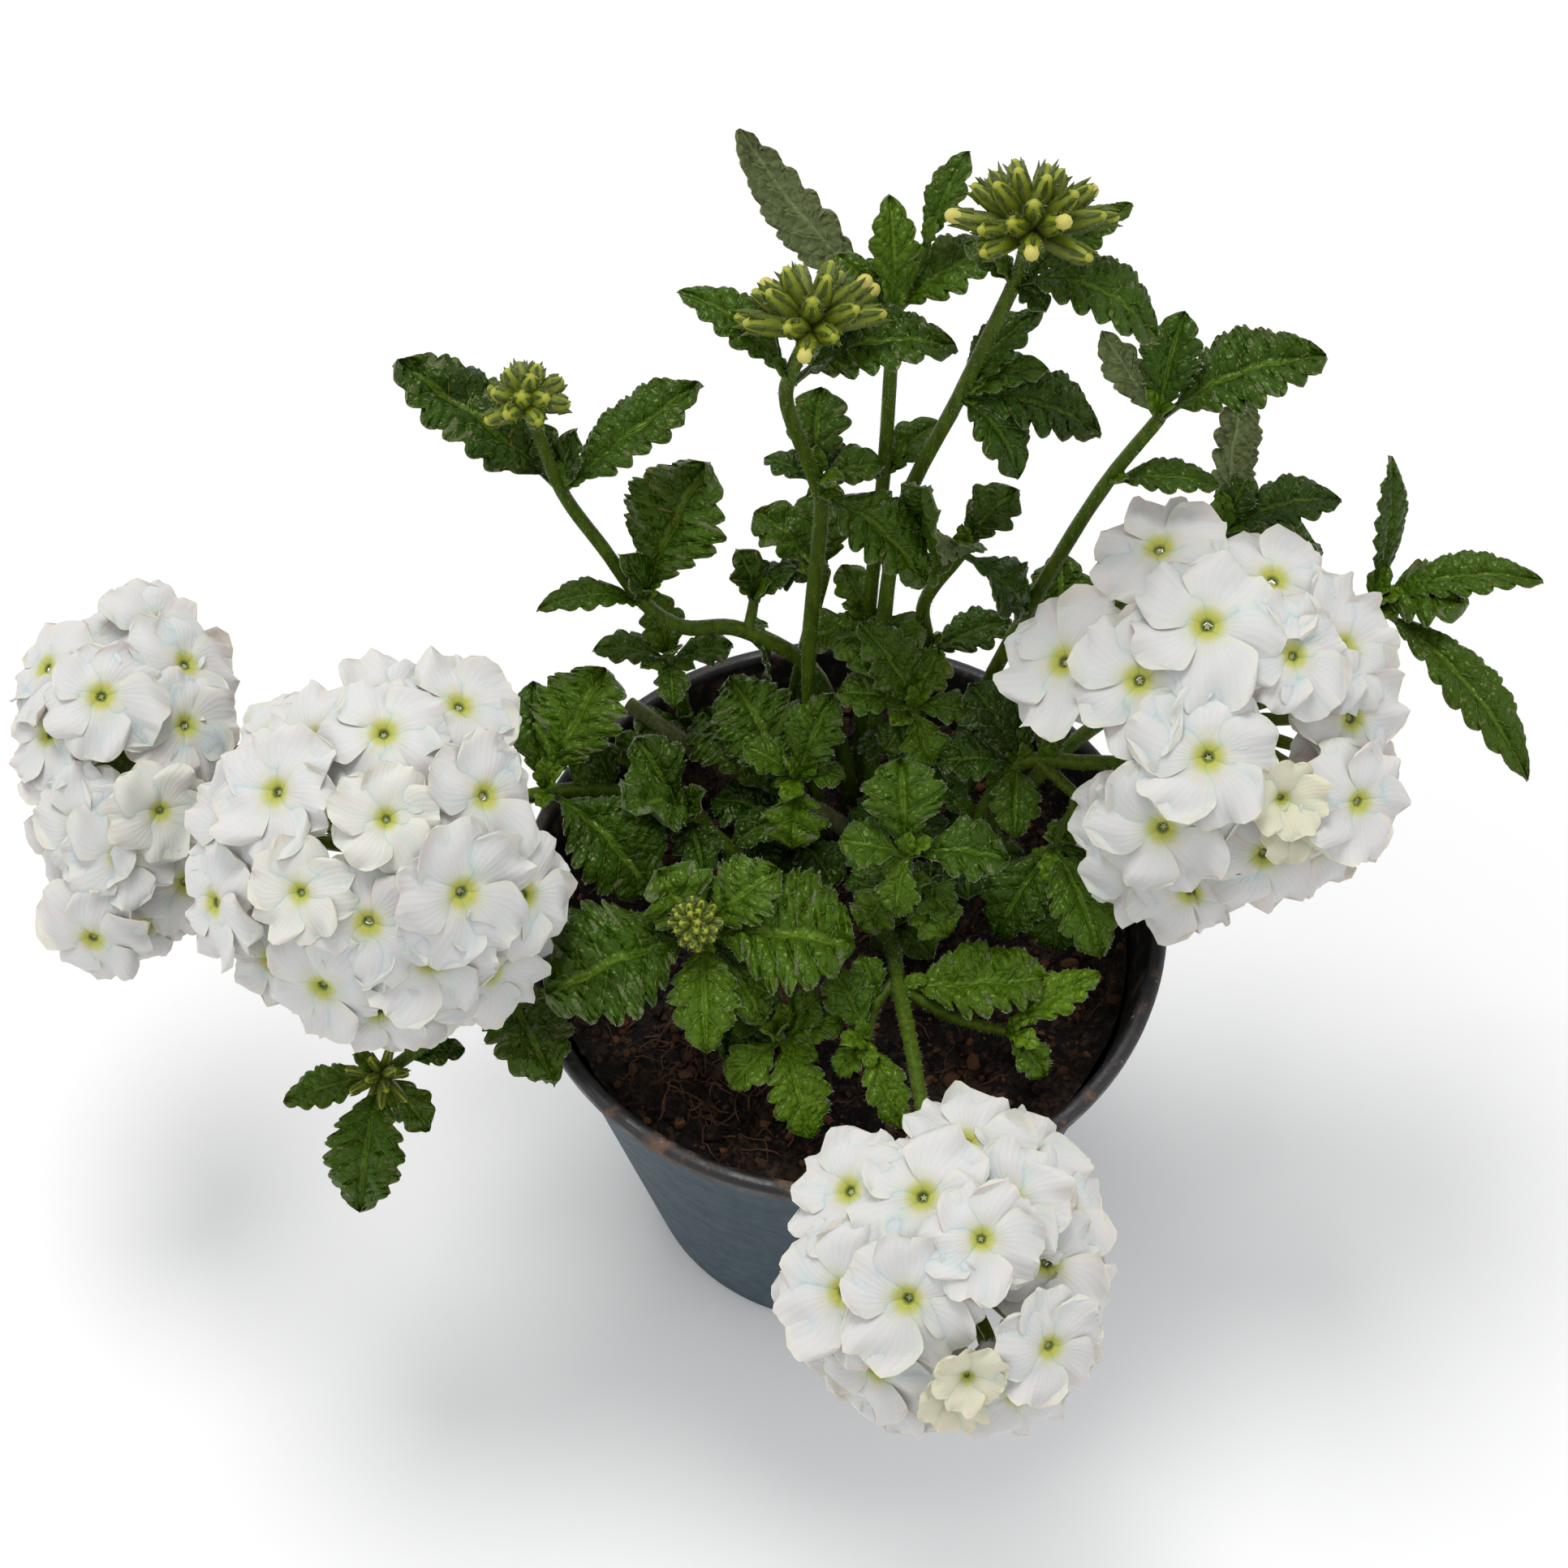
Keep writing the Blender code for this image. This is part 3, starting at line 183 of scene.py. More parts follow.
# Each shoot has its stems' points from the foot in the soil, and its leaves, in millimetres.
SHOOTS = {
    "shoot_top_bud": {
        "stems": [[(6, 24, 76), (6, 25, 92), (7, 36, 121), (10, 46, 155), (19, 47, 187), (27, 50, 212)]],
        "to": "bud_top",
        "leaves": [
            Leaf(5, (50, 40, 209), 0.48, 0.28), Leaf(5, (46, 58, 222), 0.32, 0.04),
            Leaf(5, (32, 44, 212), 0.6), Leaf(5, (19, 55, 216), 0.55), Leaf(4, (34, 48, 193), 0.42),
            Leaf(4, (33, 56, 199), 0.36), Leaf(4, (29, 35, 180), 0.5, 0.25), Leaf(4, (43, 41, 184), 0.5),
        ],
    },
    "shoot_middle_bud": {
        "stems": [
            [
                (-4, 23, 76), (-4, 24, 92), (-6, 36, 125), (-4, 44, 158), (-5, 45, 167), (-10, 43, 190),
                (-9, 43, 199),
            ],
        ],
        "to": "bud_middle",
        "leaves": [
            Leaf(5.6, (-28, 52, 208), 0.36, 0.16), Leaf(5.6, (18, 44, 203), 0.45, 0.2),
            Leaf(4, (-14, 50, 167), 0.5), Leaf(4, (-4, 58, 177), 0.6), Leaf(4, (7, 46, 170), 0.6),
            Leaf(3.7, (14, 30, 157), 0.5, 0.2),
        ],
    },
    "shoot_back": {
        "stems": [
            [(4, 34, 76), (4, 35, 92), (5, 44, 128), (7, 50, 162), (8, 57, 197)],
            [(8, 57, 197), (13, 62, 208)],
        ],
        "leaves": [
            Leaf(4, (-18, 74, 223), 0.25, 0.05, 180), Leaf(4, (7, 69, 213), 0.36, young=0.7),
            Leaf(1, (20, 71, 221), 0.36, stem=1), Leaf(4, (27, 63, 206), 0.5),
            Leaf(3.9, (-2, 62, 206), 0.45), Leaf(2, (6, 29, 130), 0.75, young=0.5),
            Leaf(2, (0, 52, 134), 0.6, young=0.5), Leaf(2, (-7, 38, 128), 0.65, young=0.4),
            Leaf(2, (14, 35, 130), 0.7, young=0.4), Leaf(3, (-6, 48, 168), 0.5),
            Leaf(3, (17, 56, 170), 0.5),
        ],
    },
    "shoot_upper_left": {
        "stems": [
            [
                (2, 30, 76), (2, 31, 92), (-4, 40, 115), (-18, 43, 126), (-29, 43, 127), (-36, 44, 133),
                (-43, 48, 144), (-50, 51, 157),
            ],
            [(-17, 43, 126), (-16, 47, 130)],
        ],
        "to": "bud_left",
        "leaves": [
            Leaf(7, (-79, 66, 174), 0.4, 0.08), Leaf(7, (-25, 63, 172), 0.38, 0.05),
            Leaf(7, (-47, 56, 168), 0.45), Leaf(7, (-54, 60, 165), 0.45),
            Leaf(5, (-24, 60, 154), 0.62, 0.1, young=0.45), Leaf(5, (-55, 38, 139), 0.3, 0.15),
            Leaf(5, (-40, 46, 145), 0.5), Leaf(1, (-19, 51, 140), 0.6, stem=1),
            Leaf(1, (-8, 48, 138), 0.5, stem=1), Leaf(3, (-14, 43, 111), 0.4),
        ],
    },
    "shoot_side_left": {
        "stems": [[(-29, 41, 76), (-29, 41, 92), (-30, 43, 104), (-32, 43, 116)]],
        "leaves": [
            Leaf(3, (-35, 51, 128), 0.5, young=0.5), Leaf(3, (-46, 42, 121), 0.45),
            Leaf(3, (-20, 46, 117), 0.6), Leaf(3, (-31, 32, 117), 0.5), Leaf(1.2, (-24, 37, 103), 0.7),
            Leaf(1, (-20, 33, 100), 0.7), Leaf(1.5, (-38, 34, 104), 0.6, young=0.1),
        ],
    },
    "stem_middle_left": {
        "stems": [
            [(-16, 12, 76), (-17, 12, 92), (-28, 17, 102), (-42, 20, 107), (-54, 17, 111), (-66, 9, 117)],
        ],
        "to": "head_middle_left",
        "leaves": [
            Leaf(2, (-40, 10, 118), 0.6), Leaf(2, (-25, 3, 104), 0.55),
            Leaf(4, (-43, 37, 122), 0.62, young=0.5), Leaf(4, (-35, -1, 104), 0.62, 0.2),
            Leaf(4, (-57, 37, 118), 0.45), Leaf(2.2, (-38, 26, 116), 0.62, young=0.3),
            Leaf(2, (-25, 18, 110), 0.65, young=0.3), Leaf(3, (-46, 28, 112), 0.5),
            Leaf(2.4, (-43, 9, 105), 0.6, young=0.1), Leaf(3.2, (-49, 22, 111), 0.5, young=0.1),
        ],
    },
    "stem_far_left": {
        "stems": [
            [
                (-23, 19, 76), (-24, 20, 92), (-37, 28, 103), (-53, 33, 106), (-74, 37, 105), (-98, 43, 94),
                (-117, 40, 90),
            ],
        ],
        "to": "head_far_left",
        "leaves": [
            Leaf(4, (-68, 21, 101), 0.5), Leaf(4, (-84, 22, 98), 0.5), Leaf(2, (-42, 31, 110), 0.55),
            Leaf(1.4, (-36, 15, 99), 0.6, young=0.1),
        ],
    },
    "stem_drooping": {
        "tip_buds": 12,
        "stems": [
            [
                (-20, 0, 76), (-21, 0, 92), (-34, -5, 103), (-50, -12, 106), (-62, -16, 98), (-74, -23, 91),
                (-84, -27, 84),
            ],
        ],
        "leaves": [
            Leaf(6, (-88, -48, 70), 0.5, 0.2, young=0.4), Leaf(6, (-102, -32, 82), 0.4, 0.05, young=0.4),
            Leaf(6, (-76, -34, 75), 0.5, young=0.4), Leaf(5.6, (-69, -23, 86), 0.5),
            Leaf(4, (-51, -40, 104), 0.5, 0.1),
        ],
    },
    "stem_front": {
        "stems": [
            [(7, -1, 76), (7, -2, 92), (9, -10, 102), (10, -22, 107), (12, -37, 110), (14, -52, 110)],
            [(10, -22, 107), (19, -26, 104), (29, -28, 102)],
            [(10, -19, 106), (6, -24, 105), (4, -31, 104)],
        ],
        "to": "head_front",
        "leaves": [
            Leaf(2, (46, -19, 107), 0.36, 0.05, stem=1, young=0.9),
            Leaf(2, (36, -35, 98), 0.6, stem=1, young=0.7), Leaf(3, (37, -20, 106), 0.5, 0.05, young=0.5),
            Leaf(2, (10, -46, 99), 0.4, stem=2, young=0.85),
            Leaf(2, (-2, -20, 110), 0.6, stem=2, young=0.5), Leaf(1, (3, -17, 110), 0.6, stem=2, young=0.3),
            Leaf(2, (-1, -37, 102), 0.6, stem=2, young=0.8),
        ],
    },
    "stem_right": {
        "stems": [
            [(18, 6, 76), (18, 7, 92), (25, 13, 108), (32, 18, 119), (44, 15, 124), (51, 14, 126)],
            [(36, 17, 121), (42, 10, 121), (38, 3, 115)],
        ],
        "to": "head_right",
        "leaves": [
            Leaf(3, (23, 29, 129), 0.6), Leaf(3, (17, 17, 121), 0.6), Leaf(3, (31, 4, 116), 0.55),
            Leaf(2, (28, -9, 103), 0.55, stem=1), Leaf(2, (46, -17, 109), 0.5, stem=1, young=0.5),
            Leaf(2, (50, 1, 108), 0.5, stem=1), Leaf(3.1, (29, 32, 128), 0.5),
            Leaf(3.4, (39, 24, 131), 0.45), Leaf(2, (16, 22, 107), 0.6, young=0.1),
            Leaf(1, (50, 6, 119), 0.55, stem=1, young=0.4), Leaf(2, (39, -10, 100), 0.6, stem=1),
            Leaf(2, (54, 9, 113), 0.7, 0.1, stem=1), Leaf(1.6, (23, -3, 106), 0.65),
            Leaf(1.4, (34, 8, 103), 0.6, young=0.1),
        ],
    },
    "shoot_right": {
        "stems": [
            [(15, 22, 76), (16, 23, 92), (26, 34, 118), (38, 42, 148), (46, 46, 166), (54, 50, 178)],
        ],
        "leaves": [
            Leaf(5, (44, 62, 187), 0.36, 0.05, 170), Leaf(5, (58, 63, 191), 0.5),
            Leaf(5, (82, 55, 188), 0.5), Leaf(4, (65, 43, 168), 0.35),
        ],
    },
    "shoot_behind_right": {
        "stems": [[(21, 26, 76), (22, 27, 92), (40, 40, 116), (56, 48, 136), (68, 48, 149)]],
        "leaves": [
            Leaf(4, (71, 67, 167), 0.32, 0.05, 150), Leaf(4, (89, 51, 154), 0.45),
            Leaf(4, (73, 57, 155), 0.5), Leaf(3.6, (88, 55, 134), 0.5), Leaf(2, (41, 58, 130), 0.55),
        ],
    },
    "shoot_far_right": {
        "stems": [
            [
                (25, 16, 76), (26, 17, 92), (42, 31, 104), (60, 43, 107), (80, 49, 114), (94, 47, 127),
                (96, 41, 137),
            ],
        ],
        "leaves": [
            Leaf(6, (98, 59, 157), 0.3, 0.05, 50), Leaf(6, (125, 39, 146), 0.28),
            Leaf(6, (112, 37, 143), 0.8, young=0.4), Leaf(6, (122, 9, 127), 0.23, 0.12),
        ],
    },
    "shoot_young_bud": {
        "stems": [[(-12, -8, 76), (-13, -8, 92), (-20, -13, 106), (-25, -17, 116)]],
        "to": "bud_young",
        "leaves": [
            Leaf(3, (-52, -30, 117), 0.74, 0.15, young=0.35), Leaf(3, (-33, -9, 126), 0.85, young=0.6),
            Leaf(3, (-11, -9, 126), 0.65, young=0.5), Leaf(3, (2, -21, 120), 0.8, 0.12, young=0.45),
            Leaf(3, (-24, -38, 112), 0.5, 0.12, young=0.65), Leaf(2.6, (-14, -32, 112), 0.5, young=0.4),
            Leaf(1.3, (-21, -31, 97), 0.6, young=0.2),
        ],
    },
    "shoot_low_front": {
        "stems": [[(-8, -20, 76), (-8, -21, 92), (-11, -30, 103)]],
        "leaves": [
            Leaf(2, (-20, -39, 101), 0.6, young=0.6), Leaf(2, (0, -28, 106), 0.6, young=0.6),
            Leaf(2, (-6, -47, 97), 0.52, young=0.8), Leaf(1.5, (-23, -24, 100), 0.5, young=0.4),
            Leaf(1.8, (-4, -24, 108), 0.65, young=0.5), Leaf(1.8, (-18, -22, 106), 0.65, young=0.4),
        ],
    },
    "shoot_centre_front": {
        "stems": [[(10, 2, 76), (10, 1, 92), (11, -3, 112), (11, -6, 126)]],
        "leaves": [
            Leaf(3, (10, 8, 136), 0.75, young=0.4), Leaf(3, (-1, -5, 129), 0.7, young=0.4),
            Leaf(3, (29, -8, 127), 0.62, young=0.4), Leaf(3, (9, -15, 120), 0.6, young=0.4),
            Leaf(2, (20, -10, 112), 0.6), Leaf(2, (1, 3, 112), 0.6),
            Leaf(2, (3, -11, 109), 0.7, 0.1, young=0.8), Leaf(2, (19, -12, 108), 0.75, 0.1, young=0.9),
            Leaf(1.5, (1, 4, 102), 0.6, young=0.1), Leaf(1.4, (20, 6, 101), 0.6, young=0.1),
            Leaf(0.9, (17, -9, 95), 0.55),
        ],
    },
    "shoot_centre": {
        "stems": [[(-8, 16, 76), (-8, 17, 92), (-8, 20, 111)]],
        "leaves": [
            Leaf(2, (-1, 31, 123), 0.55, young=0.5), Leaf(2, (-18, 24, 116), 0.6, young=0.4),
            Leaf(2, (1, 19, 113), 0.6, young=0.4), Leaf(2, (-9, 8, 106), 0.8, young=0.6),
            Leaf(1.5, (-20, 12, 101), 0.5), Leaf(1.7, (-21, 42, 112), 0.55), Leaf(1.5, (-26, 41, 102), 0.6),
            Leaf(1.3, (-24, 24, 98), 0.65, young=0.1), Leaf(1.0, (-14, 3, 96), 0.6, young=0.1),
            Leaf(1.2, (-1, 5, 97), 0.6, young=0.1), Leaf(0.9, (-22, 9, 95), 0.6, young=0.1),
        ],
    },
    "shoot_crown": {
        "stems": [[(12, 22, 76), (12, 23, 92), (13, 26, 112), (13, 27, 124)]],
        "leaves": [
            Leaf(3, (-1, 28, 127), 0.62, young=0.5), Leaf(3, (18, 35, 131), 0.7, young=0.5),
            Leaf(3, (24, 25, 124), 0.6, young=0.5), Leaf(3, (16, 18, 118), 0.7, young=0.5),
            Leaf(3, (3, 36, 138), 0.5, young=0.4), Leaf(2.8, (8, 21, 118), 0.7, young=0.3),
            Leaf(2, (23, 21, 108), 0.6, young=0.1), Leaf(2, (3, 28, 110), 0.6, young=0.1),
            Leaf(1.3, (16, 10, 101), 0.6, young=0.1), Leaf(1.2, (2, 16, 99), 0.6, young=0.1),
        ],
    },
    "shoot_crown_back": {
        "stems": [[(14, 34, 76), (14, 35, 92), (16, 42, 120), (15, 42, 136), (21, 41, 152)]],
        "leaves": [
            Leaf(4, (14, 36, 177), 0.5, 0.08, 170), Leaf(4, (31, 48, 161), 0.6),
            Leaf(4, (33, 37, 139), 0.6), Leaf(4, (12, 37, 147), 0.5), Leaf(2, (32, 48, 122), 0.5),
        ],
    },
    "shoot_crown_left": {
        "stems": [[(-10, 41, 76), (-10, 42, 92), (-7, 47, 112), (-3, 49, 136)]],
        "leaves": [
            Leaf(3, (-12, 50, 132), 0.7), Leaf(3, (-16, 58, 142), 0.6), Leaf(3, (-3, 60, 150), 0.55),
        ],
    },
}

OLD_STEM = {
    "old_cut_stem": {
        "stems": [
            [(8, 12, 76), (7, 14, 91), (0, 19, 97), (-12, 25, 100), (-27, 32, 103), (-40, 41, 105)],
        ],
        "leaves": [],
    },
}

# A floret is (right, up, petal length) across its head as the eye above the front sees it, those on top
# first. The size is how far the head's round reaches right, up and to the eye.
HEADS = {
    "head_front": {
        "centre": (18, -73, 103),
        "size": (32, 32, 27),
        "florets": [
            (3, 7, 10), (-8, -2, 12), (13, -9, 10), (-6, 14, 13), (9, 14, 12), (17, 3, 13), (-19, -2, 13),
            (-19, 15, 12), (1, -13, 6), (-1, -18, 6), (-14, -16, 12), (10, -19, 11), (2, 25, 12),
            (-12, -24, 12), (0, -25, 11), (15, 23, 12), (22, 13, 12), (-25, -9, 12), (-22, -18, 11),
            (25, -7, 12), (20, -17, 12), (10, -25, 11),
        ],
    },
    "head_middle_left": {
        "centre": (-79, -6, 126),
        "size": (31, 36, 27),
        "florets": [
            (13, -5, 13), (2, 6, 9), (17, 10, 12), (-15, 10, 12), (-11, -5, 9), (1, 20, 12), (-1, -10, 12),
            (-11, 20, 12), (9, -17, 13), (23, -6, 12), (-10, -22, 12), (13, 26, 12), (2, 29, 11),
            (-22, 22, 11), (-26, -7, 11), (-25, 5, 11), (-21, -19, 11), (-1, -28, 11), (19, -21, 12),
            (25, -15, 12), (9, -29, 10), (-15, -28, 10),
        ],
    },
    "head_far_left": {
        "centre": (-133, 26, 104),
        "size": (21, 36, 23),
        "florets": [
            (0, 12, 12), (9, -6, 9), (13, 8, 11), (3, -14, 11), (-4, -10, 12), (13, 20, 12), (13, -20, 12),
            (8, 29, 12), (-11, 18, 11), (-11, 7, 11), (-10, -2, 11), (-3, -27, 11), (5, -30, 11),
            (17, -5, 10), (-11, -16, 10), (0, 30, 10),
        ],
    },
    "head_right": {
        "centre": (66, 20, 130),
        "size": (37, 41, 28),
        "florets": [
            (-4, 14, 14), (-4, -6, 13), (10, 10, 11), (-15, 6, 13), (8, -13, 7), (-28, 10, 14), (8, 24, 13),
            (-11, 28, 13), (22, 13, 13), (20, -13, 11), (11, -19, 6), (7, -25, 13), (-11, -18, 13),
            (25, 0, 13), (-6, -34, 12), (-16, -32, 12), (18, -25, 12), (27, -9, 11), (-21, -23, 11),
        ],
    },
}

# A bud head is a centre, the way it faces, how far its buds spread from that, their length and their count.
BUDS = {
    "bud_top": {
        "centre": (29, 49.5, 225),
        "faces": (0.0, 0.25, 1.0),
        "spread": 86.0,
        "length": 10.0,
        "count": 22,
        "core": 3.6,
    },
    "bud_middle": {
        "centre": (-6, 44, 208),
        "faces": (-0.05, 0.25, 1.0),
        "spread": 86.0,
        "length": 9.5,
        "count": 18,
        "core": 3.4,
    },
    "bud_left": {
        "centre": (-55, 53.5, 178),
        "faces": (-0.1, 0.1, 1.0),
        "spread": 92.0,
        "length": 5.5,
        "count": 15,
        "core": 2.8,
    },
    "bud_young": {
        "centre": (-26, -19, 124),
        "faces": (0.0, -0.4, 1.0),
        "spread": 80.0,
        "length": 2.4,
        "count": 24,
        "core": 2.8,
    },
}


def distance(name, description, default):
    """A length property in metres."""
    return FloatProperty(
        name=name, description=description, default=default, min=0.0, subtype="DISTANCE", unit="LENGTH"
    )


def share(name, description, default, high=1.0):
    """A plain share."""
    return FloatProperty(
        name=name, description=description, default=default, min=0.0, max=high, subtype="FACTOR"
    )


def power(name, description, default):
    """The power of a light."""
    return FloatProperty(name=name, description=description, default=default, min=0.0, unit="POWER")


def tint(name, description, default):
    """A colour property."""
    return FloatVectorProperty(
        name=name, description=description, default=default, size=3, min=0.0, max=1.0, subtype="COLOR"
    )


class PotSettings(bpy.types.PropertyGroup):
    """The nursery pot."""

    outside: tint("Outside", "Colour of the pot's outer wall", (0.014, 0.042, 0.060))
    inside: tint("Inside", "Colour of the rim and the inner wall", (0.012, 0.012, 0.013))
    wear: tint("Wear", "Colour of the dusty brown marks on the rim", (0.13, 0.075, 0.045))
    roughness: share("Roughness", "Roughness of the moulded plastic", 0.5)


class SoilSettings(bpy.types.PropertyGroup):
    """The potting soil."""

    dark: tint("Dark", "Colour of the damp soil", (0.008, 0.005, 0.004))
    light: tint("Light", "Colour of dry crumbs and fibres", (0.22, 0.11, 0.055))
    crumbs: IntProperty(name="Crumbs", description="How many loose crumbs lie on top", default=2000, min=0)
    fibres: IntProperty(name="Fibres", description="How many loose fibres lie on top", default=220, min=0)


class LeafSettings(bpy.types.PropertyGroup):
    """The toothed leaves."""

    upper: tint("Upper face", "Colour of a grown leaf's upper face", (0.015, 0.042, 0.001))
    young: tint("Young leaf", "Colour of a young leaf's upper face", (0.100, 0.190, 0.004))
    lower: tint("Lower face", "Colour of a leaf's lower face", (0.115, 0.145, 0.06))
    vein: tint("Veins", "Colour of the veins on the upper face", (0.13, 0.22, 0.018))
    thickness: distance("Thickness", "Thickness of a blade", 0.35 * MM)
    relief: share("Relief", "Height of the puckers between veins, as a share of the blade's width", 0.065)
    tooth: share("Tooth depth", "Depth of the notches, as a share of the half width", 0.40)
    fullness: share("Fullness", "How wide the blades are against their plan", 1.22, 2.0)
    hair: distance("Hair", "Length of the fine hairs along stems and leaf edges", 0.7 * MM)


class StemSettings(bpy.types.PropertyGroup):
    """The green stems."""

    colour: tint("Green", "Colour of a green stem", (0.046, 0.082, 0.003))
    woody: tint("Woody", "Colour of the old cut stem", (0.075, 0.085, 0.03))
    radius: distance("Radius", "Radius of a stem at its foot", 1.6 * MM)
    tip_radius: distance("Tip radius", "Radius of a stem at its tip", 1.2 * MM)
    old_radius: distance("Old radius", "Radius of the old cut stem", 2.0 * MM)


class FloretSettings(bpy.types.PropertyGroup):
    """The open florets."""

    white: tint("Petal", "Colour of a petal", (0.655, 0.648, 0.636))
    cream: tint("Cream", "Colour of a half-open petal and of the petals' edges", (0.70, 0.675, 0.47))
    halo: tint("Halo", "Colour round the throat", (0.47, 0.48, 0.09))
    throat: tint("Throat", "Colour of the throat itself", (0.13, 0.18, 0.03))
    thickness: distance("Thickness", "Thickness of a petal", 0.3 * MM)
    ruffle: share("Ruffle", "How far a petal's edge waves, as a share of its length", 0.085)
    flatness: share("Flatness", "How little a floret bends round its head", 0.5)
    step: distance("Level step", "Height between florets that lie one on another", 1.8 * MM)


class BudSettings(bpy.types.PropertyGroup):
    """The closed buds and calyces."""

    green: tint("Green", "Colour of a calyx", (0.090, 0.130, 0.009))
    tip: tint("Tip", "Colour of a closed bud's tip", (0.55, 0.50, 0.12))


class StudioSettings(bpy.types.PropertyGroup):
    """The floor and the lights."""

    floor: tint("Floor", "Colour of the floor", (0.96, 0.96, 0.96))
    key: power("Key light", "Power of the main light", 5.8)
    fill: power("Fill light", "Power of the side lights", 1.6)


SETTINGS = (
    ("verbena_pot", PotSettings),
    ("verbena_soil", SoilSettings),
    ("verbena_leaf", LeafSettings),
    ("verbena_stem", StemSettings),
    ("verbena_floret", FloretSettings),
    ("verbena_bud", BudSettings),
    ("verbena_studio", StudioSettings),
)


def placed(name, data):
    """A new object in the scene."""
    obj = bpy.data.objects.new(name, data)
    bpy.context.scene.collection.objects.link(obj)
    return obj


class Growth:
    """Points, triangles and painted values gathered for one piece, with its materials and random draws."""

    def __init__(self, seed, materials):
        self.rng = np.random.default_rng(seed)
        self.materials = materials
        self.points = []
        self.faces = []
        self.paint = []
        self.slots = []
        self.count = 0

    def add(self, points, faces, paint, part):
        """Adds points and triangles that wear the part's material."""
        points = np.asarray(points, dtype=np.float64).reshape(-1, 3)
        faces = np.asarray(faces, dtype=np.int64).reshape(-1, 3)
        self.points.append(points)
        self.faces.append(faces + self.count)
        self.paint.append(np.array(np.broadcast_to(paint, (len(points), 4)), dtype=np.float64))
        self.slots.append(np.full(len(faces), list(self.materials).index(part)))
        self.count += len(points)

    def to_object(self, name, crease=60.0):
        """Everything gathered as one object."""
        mesh = bpy.data.meshes.new(name)
        points = np.concatenate(self.points) * MM
        faces = np.concatenate(self.faces)
        mesh.vertices.add(len(points))
        mesh.vertices.foreach_set("co", points.astype(np.float32).ravel())
        mesh.loops.add(3 * len(faces))
        mesh.loops.foreach_set("vertex_index", faces.astype(np.int32).ravel())
        mesh.polygons.add(len(faces))
        mesh.polygons.foreach_set("loop_start", np.arange(0, 3 * len(faces), 3, dtype=np.int32))
        mesh.polygons.foreach_set("material_index", np.concatenate(self.slots).astype(np.int32))
        mesh.update(calc_edges=True)
        painted = mesh.attributes.new(PAINT, "FLOAT_COLOR", "POINT")
        painted.data.foreach_set("color", np.concatenate(self.paint).astype(np.float32).ravel())
        for made in self.materials.values():
            mesh.materials.append(made)
        mesh.shade_smooth()
        mesh.set_sharp_from_angle(angle=math.radians(crease))
        return placed(name, mesh)


def grid_faces(rows, columns, start=0, wrap=False):
    """Triangles over a grid of points, listed row by row. A wrapped grid closes across its columns."""
    last = columns if wrap else columns - 1
    row, column = np.meshgrid(np.arange(rows - 1), np.arange(last), indexing="ij")
    a = start + row * columns + column
    b = start + row * columns + (column + 1) % columns
    c = b + columns
    d = a + columns
    return np.concatenate([np.stack([a, b, c], -1).reshape(-1, 3), np.stack([a, c, d], -1).reshape(-1, 3)])


def capped_faces(rows, columns):
    """A wrapped grid's triangles, and a fan at each end to the two points that follow the grid."""
    count = rows * columns
    k = np.arange(columns)
    after = (k + 1) % columns
    first = np.stack([np.full(columns, count), after, k], -1)
    last = np.stack([np.full(columns, count + 1), count - columns + k, count - columns + after], -1)
    return np.concatenate([grid_faces(rows, columns, wrap=True), first, last])


def closed_sheet_faces(rows, columns, kept):
    """Triangles of a sheet: a fine upper grid, a lower one with only the kept columns, and their rim."""
    count = rows * columns
    upper = grid_faces(rows, columns)
    lower = grid_faces(rows, len(kept), count)[:, ::-1]
    above = np.arange(count).reshape(rows, columns)
    nearest = np.searchsorted(kept, np.arange(columns), side="right") - 1
    below = count + np.arange(rows)[:, None] * len(kept) + nearest[None, :]
    sides = []
    for grid in (above, below):
        sides.append(np.concatenate([grid[0, :], grid[1:, -1], grid[-1, -2::-1], grid[-2:0:-1, 0]]))
    a, b = sides
    a_next, b_next = np.roll(a, -1), np.roll(b, -1)
    rim = np.concatenate([np.stack([a, b, b_next], -1), np.stack([a, b_next, a_next], -1)])
    whole = (rim[:, 0] != rim[:, 1]) & (rim[:, 1] != rim[:, 2]) & (rim[:, 0] != rim[:, 2])
    return np.concatenate([upper, lower, rim[whole]])


def both_sides(half):
    """Places across a blade from its left edge to its right, from those on one half."""
    return np.array([-v for v in half[:0:-1]] + list(half))


def turns_round(count):
    """Evenly spaced angles round a full turn."""
    return np.linspace(0.0, 2 * math.pi, count, endpoint=False)


def swung(across, beside, turn):
    """The way at an angle between two axes."""
    return across * math.cos(turn) + beside * math.sin(turn)


def smooth_route(points, steps):
    """Points on a smooth curve through the route, straight along its first stretch."""
    points = [Vector(p) for p in points]
    made = [points[0].lerp(points[1], k / steps) for k in range(steps + 1)]
    for i in range(1, len(points) - 1):
        before, a, b = points[i - 1], points[i], points[i + 1]
        after = points[i + 2] if i + 2 < len(points) else b + (b - a)
        for step in range(1, steps + 1):
            t = step / steps
            bend = 2 * before - 5 * a + 4 * b - after
            sway = 3 * a - before - 3 * b + after
            made.append(0.5 * (2 * a + (b - before) * t + bend * t * t + sway * t * t * t))
    return made


def route_point(points, at):
    """The place at a point number, with fractions between two points."""
    low = min(int(at), len(points) - 2)
    return Vector(points[low]).lerp(Vector(points[low + 1]), at - low)


